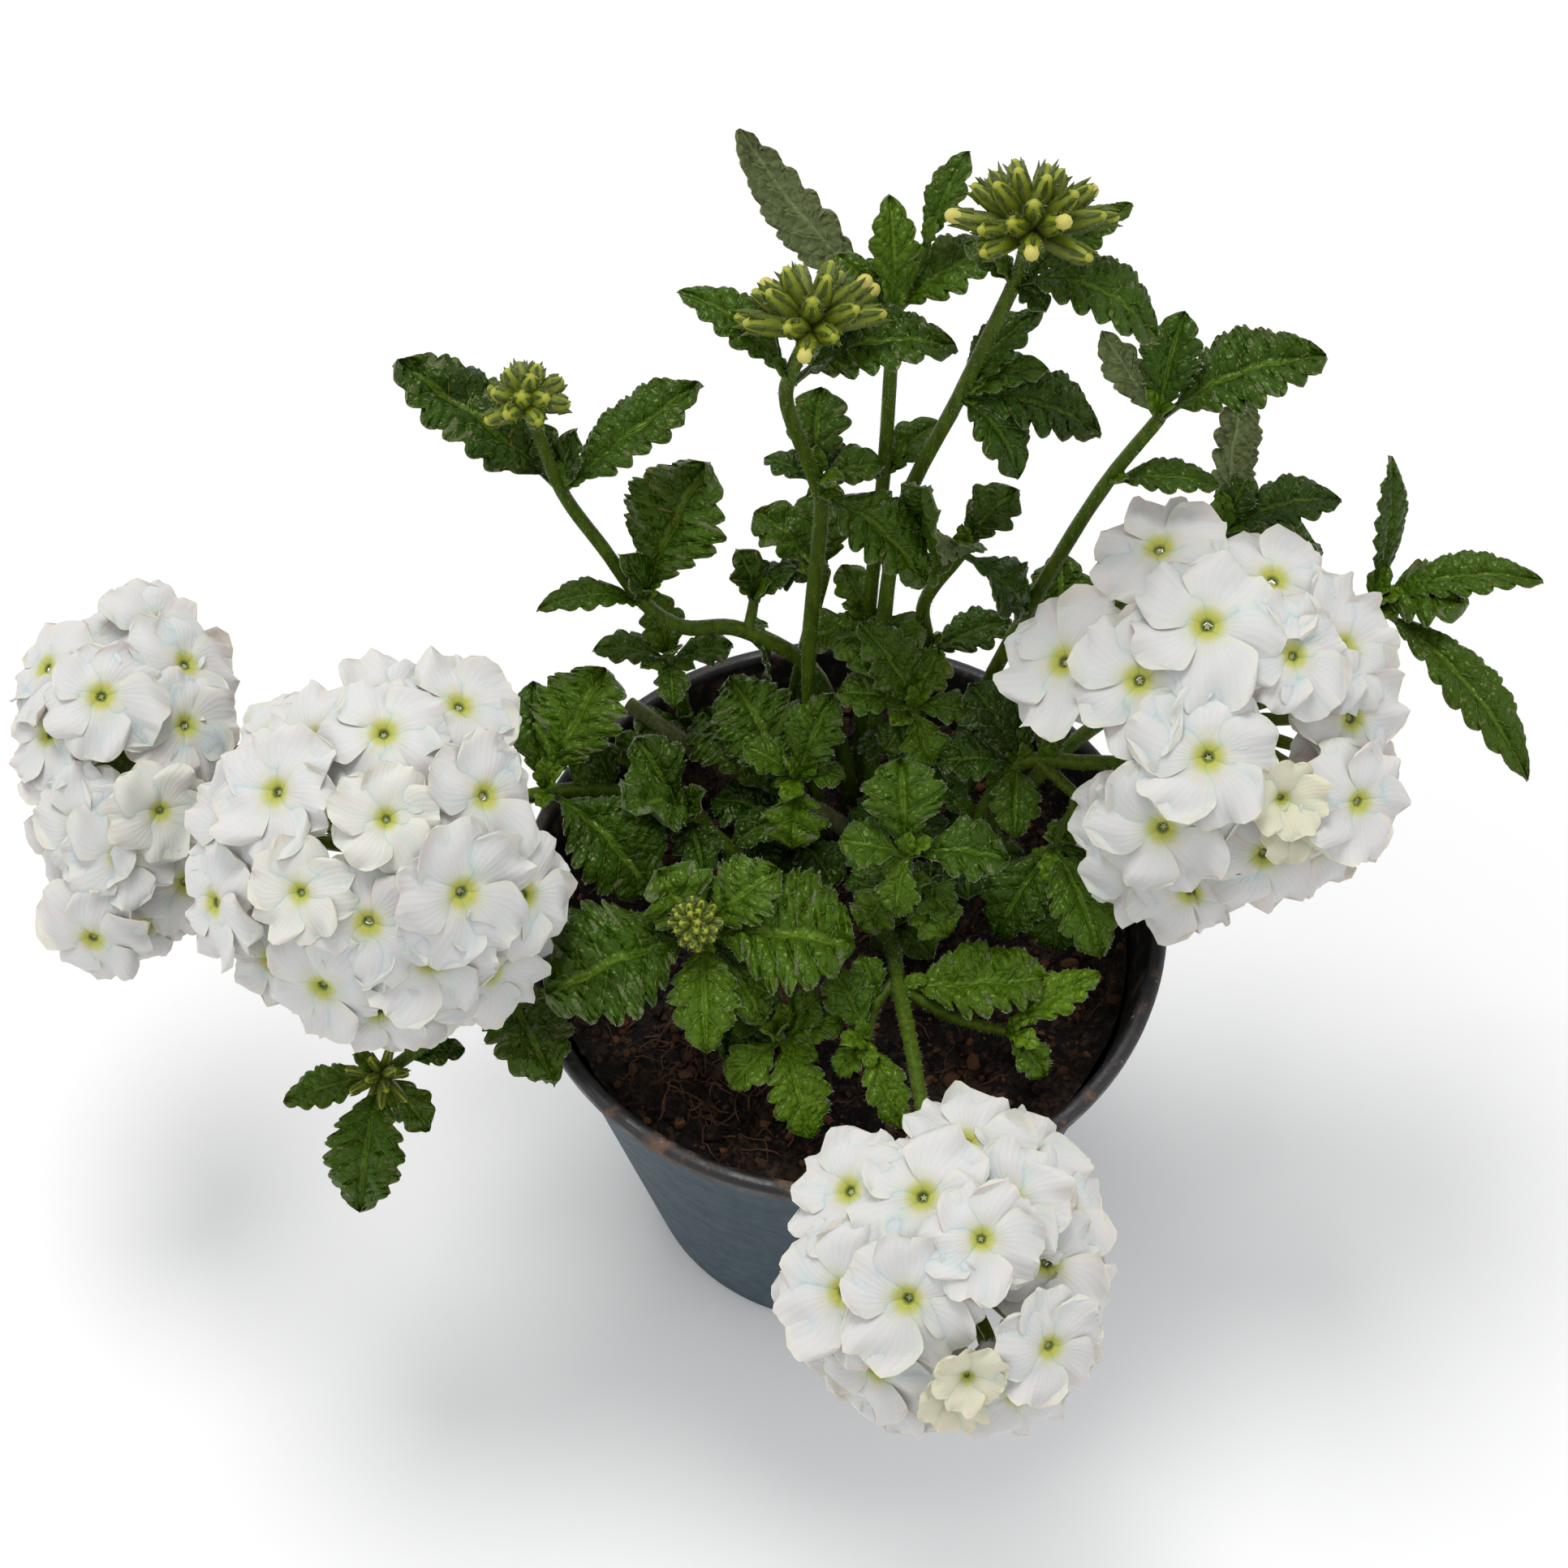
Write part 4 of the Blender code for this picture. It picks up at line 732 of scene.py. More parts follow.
def route_axes(points):
    """Two axes across a route at each of its points, turning as little as they can."""
    ways = []
    for i in range(len(points)):
        a, b = points[max(i - 1, 0)], points[min(i + 1, len(points) - 1)]
        ways.append((b - a).normalized())
    across = ways[0].orthogonal().normalized()
    axes = []
    for way in ways:
        across = (across - way * across.dot(way)).normalized()
        axes.append((across.copy(), way.cross(across)))
    return axes


def tube(growth, points, radii, sides, paint, part, ridge=0.0, ridges=4):
    """A closed round tube along the points, with a radius for each and ridges along it."""
    turns = turns_round(sides)
    rings = []
    for point, radius, (across, beside) in zip(points, radii, route_axes(points)):
        reach = radius * (1.0 + ridge * np.cos(ridges * turns))
        ring = np.outer(np.cos(turns) * reach, across) + np.outer(np.sin(turns) * reach, beside)
        rings.append(ring + np.array(point))
    ends = np.array([points[0], points[-1]])
    growth.add(np.concatenate([*rings, ends]), capped_faces(len(rings), sides), paint, part)


def hairs(growth, roots, ways, lengths, radius=HAIR_RADIUS):
    """Thin three-sided needles."""
    roots, ways = np.asarray(roots), np.asarray(ways)
    ways = ways / np.maximum(np.linalg.norm(ways, axis=1, keepdims=True), 1e-9)
    helper = np.where(np.abs(ways[:, 2:3]) < 0.9, np.array([[0.0, 0.0, 1.0]]), np.array([[1.0, 0.0, 0.0]]))
    across = np.cross(ways, helper)
    across /= np.linalg.norm(across, axis=1, keepdims=True)
    beside = np.cross(ways, across)
    points = np.empty((len(roots), 4, 3))
    for k in range(3):
        points[:, k] = roots + swung(across, beside, 2 * math.pi * k / 3) * radius
    points[:, 3] = roots + ways * np.asarray(lengths)[:, None]
    start = 4 * np.arange(len(roots))[:, None, None]
    shape = np.array([[0, 1, 3], [1, 2, 3], [2, 0, 3], [0, 2, 1]])
    growth.add(points, start + shape, (0.0, 0.0, 0.0, 1.0), "hair")


def leaf_axes(base, tip, roll):
    """A leaf's own axes: along its length, across it, and out of its upper face."""
    along = (tip - base).normalized()
    across = along.cross(Vector((0.0, 0.0, 1.0)))
    if across.length < 0.05:
        across = Vector((1.0, 0.0, 0.0))
    across.normalize()
    turn = Matrix.Rotation(math.radians(roll), 3, along)
    return along, turn @ across, turn @ across.cross(along)


def grow_leaf(growth, base, plan, settings, fine=True):
    """A lobed, puckered blade on a short petiole, as a closed sheet with hairs along its edge."""
    rng = growth.rng
    tip = Vector(plan.tip)
    length = (tip - base).length
    along, across, out = (np.array(a) for a in leaf_axes(base, tip, plan.roll))
    width = length * plan.width * settings.fullness
    lobes = min(max(round(length / LOBE_LENGTH), LOBES[0]), LOBES[1])
    half = BLADE_HALF if fine else AXIL_HALF
    t = both_sides(half)[None, :]
    # A blade that shows its underside has all its columns there, and another one only a few.
    kept = list(range(t.size)) if abs(plan.roll) > 60 else [0, len(half) // 2, len(half) - 1]
    kept = sorted(set(kept) | {t.size - 1 - k for k in kept})
    rows = np.linspace(0.0, 1.0, (8 if fine else 4) * lobes + 1)
    s = np.concatenate([[0.0, 0.5 * PETIOLE], PETIOLE + (1.0 - PETIOLE) * rows])[:, None]
    side = np.abs(t)
    u = np.clip((s - PETIOLE) / (1.0 - PETIOLE), 0.0, 1.0)
    broadest = 1.3 if plan.width > 0.55 else 1.0
    profile = np.maximum(np.sin(math.pi * u**broadest), 0.0) ** 0.7
    reach = np.sqrt((width / 2 * profile) ** 2 + (0.7 * (1.0 - 0.6 * s)) ** 2 * (1.0 - u**6)) + 0.02
    # The rows fall on whole eighths of a lobe along the edge, so that each notch is a crisp one.
    phase = lobes * (u - 0.27 * side + 0.27) + (rng.integers(-1, 2) + np.sign(t)) / 8
    part = phase - np.floor(phase)
    lobe = np.maximum(np.sin(math.pi * part), 0.0) ** 0.5
    crenate = np.abs(np.sin(2.0 * math.pi * part)) ** 0.6 if length > 17 else 1.0 + 0.0 * part
    grown = np.clip(u * 5.0, 0.0, 1.0)
    uneven = 1.0 + 0.35 * np.sin(2.3 * np.floor(phase) + rng.uniform(0, 6) + 1.7 * np.sign(t))
    cut = (settings.tooth * uneven * (1.0 - lobe) + 0.06 * (1.0 - crenate)) * side**2.5 * grown
    x = t * reach * (1.0 - cut)
    y = s * length + 0.16 * length / (lobes + 2) * (lobe - 0.5) * side**3 * grown * (1.0 - u**4)
    groove = np.exp(-(((part - 0.5) / 0.12) ** 2))
    midrib = np.exp(-((t / 0.12) ** 2))
    relief = settings.relief * width
    pucker = (1.0 - groove) * (1.0 - midrib) * (1.0 - 0.6 * side**4) * grown
    fold = rng.uniform(0.08, 0.34)
    wave = rng.uniform(0.02, 0.06) * width
    droop = rng.uniform(0.0, 0.16) * length
    z = relief * (pucker - 0.5 * midrib * grown) + fold * np.abs(x) * (1.0 - 0.6 * side**2)
    z = z + wave * np.sin(2 * math.pi * (1.6 * u + rng.uniform(0, 1))) * t * side * grown
    z = z + 0.6 * wave * np.sin(2 * math.pi * (2.7 * u + 0.9 * t + rng.uniform(0, 1))) * grown
    z = z + 0.1 * relief * np.sin(3.9 * x + 3.0) * np.sin(3.3 * y) * grown * (1.0 - midrib)
    z = z - 0.3 * relief * (1.0 - crenate) * side**4 * grown
    z = z + plan.arch * length * 4 * s * (1.0 - s) + droop * s * (1.0 - s) * s
    x = x + 0.025 * length * np.sin(math.pi * s) * rng.uniform(-1, 1)
    y = np.broadcast_to(y, x.shape)
    sheet = np.array(base) + y[..., None] * along + x[..., None] * across + z[..., None] * out
    thick = settings.thickness / MM
    body = thick * (1.0 - 0.45 * side**4) + 0.9 * (1.0 - grown) * (1.0 - side**2)
    lower = (sheet - np.broadcast_to(body, x.shape)[..., None] * out)[:, kept]
    young = np.full(x.shape, min(max(plan.young + rng.uniform(-0.16, 0.12), 0.0), 1.0))
    upper_paint = np.stack([np.broadcast_to(phase, x.shape), 0.0 * x, young, np.broadcast_to(t, x.shape)], -1)
    lower_paint = upper_paint[:, kept].copy()
    lower_paint[..., 1] = 1.0
    points = np.concatenate([sheet.reshape(-1, 3), lower.reshape(-1, 3)])
    paint = np.concatenate([upper_paint.reshape(-1, 4), lower_paint.reshape(-1, 4)])
    growth.add(points, closed_sheet_faces(len(s), t.size, kept)[:, ::-1], paint, "leaf")
    if fine:
        margin_hairs(growth, sheet, (along, across, out), int(length * EDGE_HAIRS), settings)


def margin_hairs(growth, sheet, axes, number, settings):
    """Fine hairs that stand out along a blade's two edges."""
    rng = growth.rng
    along, across, out = axes
    right = rng.uniform(0, 1, number) < 0.5
    place = rng.uniform(4, len(sheet) - 1.01, number)
    row = place.astype(int)
    f = (place - row)[:, None]
    column = np.where(right, sheet.shape[1] - 1, 0)
    roots = sheet[row, column] * (1 - f) + sheet[row + 1, column] * f
    ways = np.where(right, 1.0, -1.0)[:, None] * across + 0.5 * along + 0.2 * out
    ways = ways + rng.normal(0, 0.35, (number, 3))
    lengths = rng.uniform(0.5, 1.0, number) * settings.hair / MM * 0.8
    hairs(growth, roots, ways, lengths, EDGE_HAIR_RADIUS)


def grow_stem(growth, route, radii, settings):
    """A ridged, hairy stem with slight swellings."""
    rng = growth.rng
    points = smooth_route(route, STEM_STEPS)
    count = len(points)
    reach = []
    for i in range(count):
        f = i / (count - 1)
        swell = 1.0 + 0.05 * noise.noise(points[i] * 0.3)
        reach.append((radii[0] * (1 - f) + radii[1] * f) * swell)
    tube(growth, points, reach, STEM_SIDES, (0.0, 0.0, 0.4, 0.0), "stem", ridge=0.05)
    total = sum((b - a).length for a, b in zip(points, points[1:]))
    number = int(total * STEM_HAIRS)
    axes = route_axes(points)
    roots, ways = [], []
    for _ in range(number):
        place = rng.uniform(0.12, 0.999) * (count - 1)
        i = int(place)
        way = swung(*axes[i], rng.uniform(0, 2 * math.pi))
        roots.append(points[i].lerp(points[i + 1], place - i) + way * (reach[i] * 0.93))
        ways.append(way + (points[i + 1] - points[i]).normalized() * rng.uniform(-0.4, 0.5))
    hairs(growth, roots, ways, rng.uniform(0.5, 1.0, number) * settings.hair / MM)


def carried_end(name, last):
    """Where a stem meets the core of the head that it carries."""
    plan = HEADS.get(name) or BUDS[name]
    core = plan.get("core", CORE_RADIUS)
    centre = Vector(plan["centre"])
    return centre + (last - centre).normalized() * (core - 0.5)


def grow_shoot(name, plan, seed, materials, leaves, stems):
    """One leafy stem as a finished piece."""
    growth = Growth(seed, materials)
    radius, tip_radius = stems.radius / MM, stems.tip_radius / MM
    if not plan["leaves"]:
        radius, tip_radius = stems.old_radius / MM, stems.radius / MM
    routes = [[Vector(p) for p in route] for route in plan["stems"]]
    whole = list(routes[0])
    if "to" in plan:
        whole.append(carried_end(plan["to"], whole[-1]))
    grow_stem(growth, whole, (radius, tip_radius), leaves)
    for route in routes[1:]:
        grow_stem(growth, route, (tip_radius, tip_radius * 0.8), leaves)
    for blade in plan["leaves"]:
        base = route_point(routes[blade.stem], blade.at)
        grow_leaf(growth, base, blade, leaves)
        grow_axil(growth, base, blade, leaves)
    if "tip_buds" in plan:
        grow_tip_buds(growth, routes[0], plan["tip_buds"])
    settle(growth.to_object(name + "_grown"), name)


def grow_tip_buds(growth, route, count):
    """Small closed buds that stand round the tip of a stem."""
    foot = route[-1] + 1.0 * EYE_BACK
    faces = EYE_BACK - 0.4 * EYE_UP
    for i in range(count):
        way = spiral_way(i, count, faces, 75.0)
        closed_bud(growth, foot, foot + way * float(growth.rng.uniform(*TIP_BUD_TIPS)), 0.95, 0.0, 14)


def grow_axil(growth, base, blade, settings):
    """A very small leaf where a grown leaf leaves the stem."""
    way = (Vector(blade.tip) - base).normalized()
    spread = Vector(growth.rng.normal(0, 0.5, 3))
    small = (way + Vector((0, 0, 0.7)) + spread).normalized()
    size = float(growth.rng.uniform(*AXIL_LENGTHS))
    plan = Leaf(0, base + small * size, 0.5, 0.1, young=min(blade.young + 0.35, 1.0))
    grow_leaf(growth, base, plan, settings, fine=False)


def settle(piece, node):
    """Ties a piece to the pot's body and hides the node that it stands for."""
    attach(piece, "root")
    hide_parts(node)


def floret_seat(plan, right, up):
    """A floret's place on its head's round, and the way it faces there."""
    size = plan["size"]
    x, y = right / size[0], up / size[1]
    local = Vector((x, y, math.sqrt(max(1.0 - x * x - y * y, 0.0)))).normalized()
    seat = Vector(local[k] * size[k] for k in range(3))
    out = Vector(local[k] / size[k] for k in range(3)).normalized()
    return Vector(plan["centre"]) + EYE_AXES.transposed() @ seat, EYE_AXES.transposed() @ out


def floret_levels(seats, petals):
    """How many florets deep each one lies. A floret lies under all those before it that it meets."""
    levels = []
    for i, seat in enumerate(seats):
        level = 0
        for j in range(i):
            if (seat - seats[j]).length < FLORET_ROOM * (petals[i] + petals[j]):
                level = max(level, levels[j] + 1)
        levels.append(min(level, LOWEST_LEVEL))
    return levels


def on_round(plan, points, lift):
    """Points moved in or out to the head's round, raised by the lift at each."""
    centre = np.array(plan["centre"], dtype=float)
    local = (points - centre) @ np.array(EYE_AXES).T
    size = np.array(plan["size"], dtype=float) + lift[..., None]
    reach = np.sqrt(np.sum((local / size) ** 2, axis=-1, keepdims=True))
    return centre + (points - centre) / reach


def petal_shape(length, young, rng, settings):
    """A petal's points as reach from the throat, distance to the side, and lift, with its edge marked."""
    u = np.linspace(0.0, 1.0, PETAL_ROWS)[:, None]
    v = both_sides(PETAL_HALF)[None, :]
    side = np.abs(v)
    half = length * rng.uniform(0.52, 0.6)
    tip = length * (0.5 + 0.5 * np.maximum(1.0 - side**3.0, 0.0) ** 0.5)
    tip = tip - length * rng.uniform(0.04, 0.11) * np.exp(-((v / 0.24) ** 2))
    tip = tip + length * 0.012 * np.sin(7.0 * v + rng.uniform(0, 6)) * (1.0 - side**4)
    reach = length * 0.05 + (tip - length * 0.05) * u
    wide = half * (0.1 + 0.9 * np.sin(math.pi / 2 * np.clip(u / 0.72, 0, 1)) ** 1.15)
    beside = v * wide
    f = reach / length
    rise = rng.uniform(0.08, 0.24) + 0.5 * young
    fall = rng.uniform(0.08, 0.34)
    curl = rng.normal(0.0, 0.07)
    ruffle = settings.ruffle * length
    lift = length * (rise * f - fall * f**2 + curl * f**4)
    lift = lift + 0.17 * beside * np.clip(1.4 * f, 0, 1)
    lift = lift - rng.uniform(-0.08, 0.2) * length * v**2 * f**1.5
    lift = lift + ruffle * u**3 * np.sin(2 * math.pi * (0.9 * v + rng.uniform(0, 1)))
    lift = lift + 0.45 * ruffle * u**5 * np.sin(2 * math.pi * (2.3 * v + rng.uniform(0, 1)))
    lift = lift + 0.5 * ruffle * np.sin(2 * math.pi * (0.7 * v + 1.1 * u + rng.uniform(0, 1))) * u
    lift = lift - 0.03 * length * np.exp(-((v / 0.12) ** 2)) * f * (1.3 - f)
    lift = lift - 1.0 * np.exp(-((reach / 1.4) ** 2))
    edge = np.broadcast_to(np.maximum(side, u) ** 14, lift.shape)
    return reach + 0 * v, beside + 0 * u, lift, np.broadcast_to(0.5 + 0.5 * v, lift.shape), edge


def grow_floret(growth, plan, seat, way, level, petal, spin, young, settings):
    """Five notched petals, a throat and a tube that runs down into a green calyx."""
    rng = growth.rng
    base_lift = settings.step / MM * (TOP_LEVEL - level)
    facing = max(way.dot(EYE_BACK), 0.0)
    flatness = settings.flatness + (1.0 - settings.flatness) * 0.7 * (1.0 - facing)
    leaning = way + EYE_BACK * (TURN_TO_EYE * (1.0 - facing))
    out = (leaning.normalized() + Vector(rng.normal(0, 0.1, 3))).normalized()
    across = out.orthogonal().normalized()
    across, beside, out = np.array(across), np.array(out.cross(across)), np.array(out)
    middle = np.array(seat)
    raised = on_round(plan, middle[None, :], np.array([base_lift]))[0]
    for k in range(PETALS):
        turn = spin + 2 * math.pi * k / PETALS + rng.normal(0, 0.07)
        length = petal * rng.uniform(0.93, 1.07)
        reach, wide, lift, vein, edge = petal_shape(length, young, rng, settings)
        cross = -across * math.sin(turn) + beside * math.cos(turn)
        spread = reach[..., None] * swung(across, beside, turn) + wide[..., None] * cross
        thick = settings.thickness / MM * (1.0 - 0.5 * edge)
        sides = []
        for height in (lift, lift - thick):
            flat = raised + spread + height[..., None] * out
            curved = on_round(plan, middle + spread, base_lift + height)
            sides.append((flat * flatness + curved * (1.0 - flatness)).reshape(-1, 3))
        share_out = np.sqrt(reach**2 + wide**2) / petal
        paint = np.stack([share_out, np.full(lift.shape, young), vein, edge], -1).reshape(-1, 4)
        below = np.arange(lift.size).reshape(lift.shape)[:, PETAL_KEPT].ravel()
        faces = closed_sheet_faces(*lift.shape, PETAL_KEPT)[:, ::-1]
        points = np.concatenate([sides[0], sides[1][below]])
        growth.add(points, faces, np.concatenate([paint, paint[below]]), "petal")
    centre = Vector(plan["centre"])
    top = Vector(raised - THROAT_DEPTH * out)
    foot = centre + (top - centre).normalized() * (CORE_RADIUS * 0.6)
    route = [top.lerp(foot, f) for f in (0.0, 0.06, 0.2, 0.4, 0.6)]
    tube(growth, route, (0.75, 0.95, 0.9, 0.8, 0.8), 8, (0.5, 0.5, 0.5, 0.0), "petal")
    # The tube's first ring and end point lie in the throat and take its colour.
    growth.paint[-1][:8, 0] = 0.04
    growth.paint[-1][-2, 0] = 0.04
    for k in range(PETALS):
        ray = Vector(swung(across, beside, spin + 2 * math.pi * (k + 0.5) / PETALS))
        tip = top + ray * 0.75 + Vector(out) * 0.35
        route = [top + Vector(out) * 0.25, top + ray * 0.45 + Vector(out) * 0.4, tip]
        tube(growth, route, (0.3, 0.22, 0.06), 5, (0.17, 0.0, 0.5, 0.0), "petal")
    calyx(growth, foot, top.lerp(foot, 0.45), 1.15)


def calyx(growth, foot, top, belly):
    """A ribbed green sleeve with five short teeth."""
    shares = (0.0, 0.25, 0.5, 0.75, 0.92, 1.0)
    widths = (0.55, 0.9, 1.0, 0.95, 0.9, 0.75)
    route = [foot.lerp(top, f) for f in shares]
    tube(growth, route, [belly * w for w in widths], 10, (0.0, 0.0, 0.5, 0.0), "calyx", ridge=0.1)
    way = (top - foot).normalized()
    across = way.orthogonal().normalized()
    for k in range(PETALS):
        ray = swung(across, way.cross(across), 2 * math.pi * k / PETALS + growth.rng.uniform(0, 0.6))
        start = top - way * 0.6 + ray * belly * 0.7
        route = [start, start + way * 0.8 + ray * 0.1, start + way * 1.7 + ray * 0.25]
        tube(growth, route, (0.3, 0.2, 0.05), 4, (0.0, 0.0, 0.7, 0.0), "calyx")


def bumpy_core(growth, centre, radius, light):
    """A lumpy ball where the stalks join."""
    rows, columns = 14, 20
    tilt = np.linspace(0.02, math.pi - 0.02, rows)[:, None]
    turn = turns_round(columns)[None, :]
    ball = np.stack([np.sin(tilt) * np.cos(turn), np.sin(tilt) * np.sin(turn), np.cos(tilt) + 0 * turn], -1)
    bumps = 1.0 + 0.06 * np.sin(7 * turn + 3 * tilt) * np.sin(8 * tilt)
    points = np.array(centre) + ball * radius * bumps[..., None]
    poles = np.array([np.array(centre) + (0, 0, radius), np.array(centre) - (0, 0, radius)])
    points = np.concatenate([points.reshape(-1, 3), poles])
    growth.add(points, capped_faces(rows, columns)[:, ::-1], (0.0, 0.0, light, 0.0), "calyx")


def grow_head(name, plan, seed, materials, settings):
    """An open flower head: florets on a round, calyces, a few closed buds and a small core."""
    growth = Growth(seed, materials)
    seats = [floret_seat(plan, right, up) for right, up, _ in plan["florets"]]
    petals = [petal for _, _, petal in plan["florets"]]
    levels = floret_levels([seat for seat, _ in seats], petals)
    for i, (seat, way) in enumerate(seats):
        # The smallest florets are half open, and cream.
        young = 0.85 if petals[i] < HALF_OPEN else (0.22 if petals[i] < NEARLY_OPEN else 0.0)
        grow_floret(growth, plan, seat, way, levels[i], petals[i], FLORET_SPIN * i, young, settings)
    bumpy_core(growth, plan["centre"], CORE_RADIUS, 0.3)
    centre = Vector(plan["centre"])
    for i in range(INNER_BUDS):
        way = spiral_way(i, INNER_BUDS, EYE_BACK, 95.0)
        reach = float(growth.rng.uniform(*INNER_BUD_TIPS))
        closed_bud(growth, centre + way * 5.0, centre + way * reach, 1.25, 0.6, 20)
    settle(growth.to_object(name + "_grown"), name)


def spiral_way(number, count, faces, widest):
    """The number's direction on a golden spiral about the way that a head faces."""
    tilt = math.radians(widest) * math.sqrt((number + 0.4) / count)
    turn = math.radians(GOLDEN_TURN) * number
    local = Vector((math.sin(tilt) * math.cos(turn), math.sin(tilt) * math.sin(turn), math.cos(tilt)))
    return Vector((0.0, 0.0, 1.0)).rotation_difference(Vector(faces)) @ local


def closed_bud(growth, foot, tip, belly, ripe, hairy):
    """A hairy, ribbed green spindle with five pointed teeth and the closed corolla's tip between them."""
    rng = growth.rng
    shares = np.array([0.0, 0.1, 0.28, 0.5, 0.7, 0.84, 0.9])
    widths = np.array([0.45, 0.65, 0.92, 1.0, 0.92, 0.74, 0.55])
    route = [foot.lerp(tip, f) for f in shares]
    sides = 3 * PETALS
    tube(growth, route, belly * widths, sides, (0.0, 0.0, 0.5, 0.0), "calyx", ridge=0.1, ridges=PETALS)
    wall = growth.paint[-1][: len(shares) * sides]
    wall[:, 1] = np.tile(np.arange(sides) % 3 == 0, len(shares))
    wall[:, 2] = np.repeat(0.2 + 0.7 * shares, sides)
    way = (tip - foot).normalized()
    across, beside = route_axes([foot, tip])[0]
    size = (tip - foot).length
    for k in range(PETALS):
        ray = swung(across, beside, 2 * math.pi * k / PETALS)
        start = foot.lerp(tip, 0.7) + ray * belly * 0.72
        reach = BUD_TOOTH * size * rng.uniform(0.85, 1.25)
        lean = rng.uniform(-0.12, 0.28) * reach
        route = [start, start + way * 0.5 * reach + ray * 0.02, start + way * reach + ray * lean]
        tube(growth, route, (0.42 * belly, 0.27 * belly, 0.04), 4, (0.0, 1.0, 0.6, 0.0), "calyx")
    dome = 0.46 + 0.26 * ripe
    shares = np.array([0.7, 0.8, 0.87, 0.92, 0.95]) + 0.11 * ripe
    route = [foot.lerp(tip, f) for f in shares]
    widths = belly * dome * np.array([0.9, 1.0, 0.95, 0.7, 0.25])
    tube(growth, route, widths, 8, (ripe, 0.0, 1.0, 0.0), "calyx")
    f = rng.uniform(0.05, 0.9, hairy)
    turn = rng.uniform(0, 2 * math.pi, hairy)
    rays = np.outer(np.cos(turn), across) + np.outer(np.sin(turn), beside)
    middles = np.outer(1 - f, foot) + np.outer(f, tip)
    hairs(growth, middles + rays * belly * 0.88, rays + 0.5 * np.array(way), rng.uniform(0.4, 0.9, hairy))


def grow_bud_head(name, plan, seed, materials):
    """A head of closed buds that radiate from a small core."""
    growth = Growth(seed, materials)
    rng = growth.rng
    centre = Vector(plan["centre"])
    belly, hairy = (1.8, 60) if plan["length"] > 4 else (1.0, 26)
    bumpy_core(growth, centre, plan["core"], 0.4)
    for i in range(plan["count"]):
        way = spiral_way(i, plan["count"], plan["faces"], plan["spread"])
        way = (way + Vector(rng.normal(0, 0.07, 3))).normalized()
        outer = i / plan["count"]
        reach = plan["core"] + plan["length"] * (0.8 + 0.25 * outer) * rng.uniform(0.9, 1.08)
        ripe = 1.0 if plan["length"] > 8 and rng.uniform(0, 1) < 0.4 * outer else float(rng.uniform(0.1, 0.3))
        closed_bud(growth, centre + way * 0.4 * plan["core"], centre + way * reach, belly, ripe, hairy)
    settle(growth.to_object(name + "_grown"), name)


def scaled(colour, factor):
    """A colour times one factor, or times a factor for each channel."""
    return tuple(min(float(c), 1.0) for c in np.multiply(colour, factor))


class Finish:
    """Adds shader nodes to one material and links them."""

    def __init__(self, name):
        self.made = bpy.data.materials.new(name)
        self.made.use_nodes = True
        self.nodes = self.made.node_tree.nodes
        self.links = self.made.node_tree.links
        self.shader = self.nodes["Principled BSDF"]

    def node(self, kind, inputs, **settings):
        """A new node, with its settings made before its sockets are fed."""
        made = self.nodes.new(kind)
        for name, value in settings.items():
            setattr(made, name, value)
        for name, value in inputs.items():
            self.feed(made.inputs[name], value)
        return made

    def feed(self, socket, value):
        """Links another node's output, or sets a plain number or colour."""
        if isinstance(value, bpy.types.NodeSocket):
            self.links.new(value, socket)
        elif socket.type == "RGBA":
            socket.default_value = (*value, 1.0)
        else:
            socket.default_value = value

    def mix(self, factor, a, b):
        return self.node("ShaderNodeMix", {0: factor, 6: a, 7: b}, data_type="RGBA").outputs[2]

    def maths(self, operation, a, b=0.0):
        return self.node("ShaderNodeMath", {0: a, 1: b}, operation=operation).outputs[0]

    def times(self, a, b):
        return self.maths("MULTIPLY", a, b)

    def ranged(self, value, low, high, to_low=0.0, to_high=1.0):
        """The value stretched from one range to another."""
        inputs = {"Value": value, "From Min": low, "From Max": high, "To Min": to_low, "To Max": to_high}
        return self.node("ShaderNodeMapRange", inputs).outputs["Result"]

    def place(self):
        return self.node("ShaderNodeTexCoord", {}).outputs["Object"]

    def grain(self, scale, detail=4.0, roughness=0.55):
        inputs = {"Vector": self.place(), "Scale": scale, "Detail": detail, "Roughness": roughness}
        return self.node("ShaderNodeTexNoise", inputs).outputs["Fac"]

    def cells(self, scale):
        inputs = {"Vector": self.place(), "Scale": scale}
        return self.node("ShaderNodeTexVoronoi", inputs).outputs["Distance"]

    def paint(self):
        """The four values painted on a piece's points."""
        made = self.node("ShaderNodeAttribute", {}, attribute_name=PAINT)
        split = self.node("ShaderNodeSeparateColor", {"Color": made.outputs["Color"]})
        return split.outputs[0], split.outputs[1], split.outputs[2], made.outputs["Alpha"]

    def bump(self, height, strength, reach, under=None):
        inputs = {"Height": height, "Strength": strength, "Distance": reach}
        if under is not None:
            inputs["Normal"] = under
        return self.node("ShaderNodeBump", inputs).outputs["Normal"]

    def wear(self, colour, roughness, normal=None, **sockets):
        """Feeds the shader's sockets, named with underscores for spaces, and gives the material."""
        inputs = {"Base Color": colour, "Roughness": roughness, **sockets}
        if normal is not None:
            inputs["Normal"] = normal
        for name, value in inputs.items():
            self.feed(self.shader.inputs[name.replace("_", " ")], value)
        return self.made


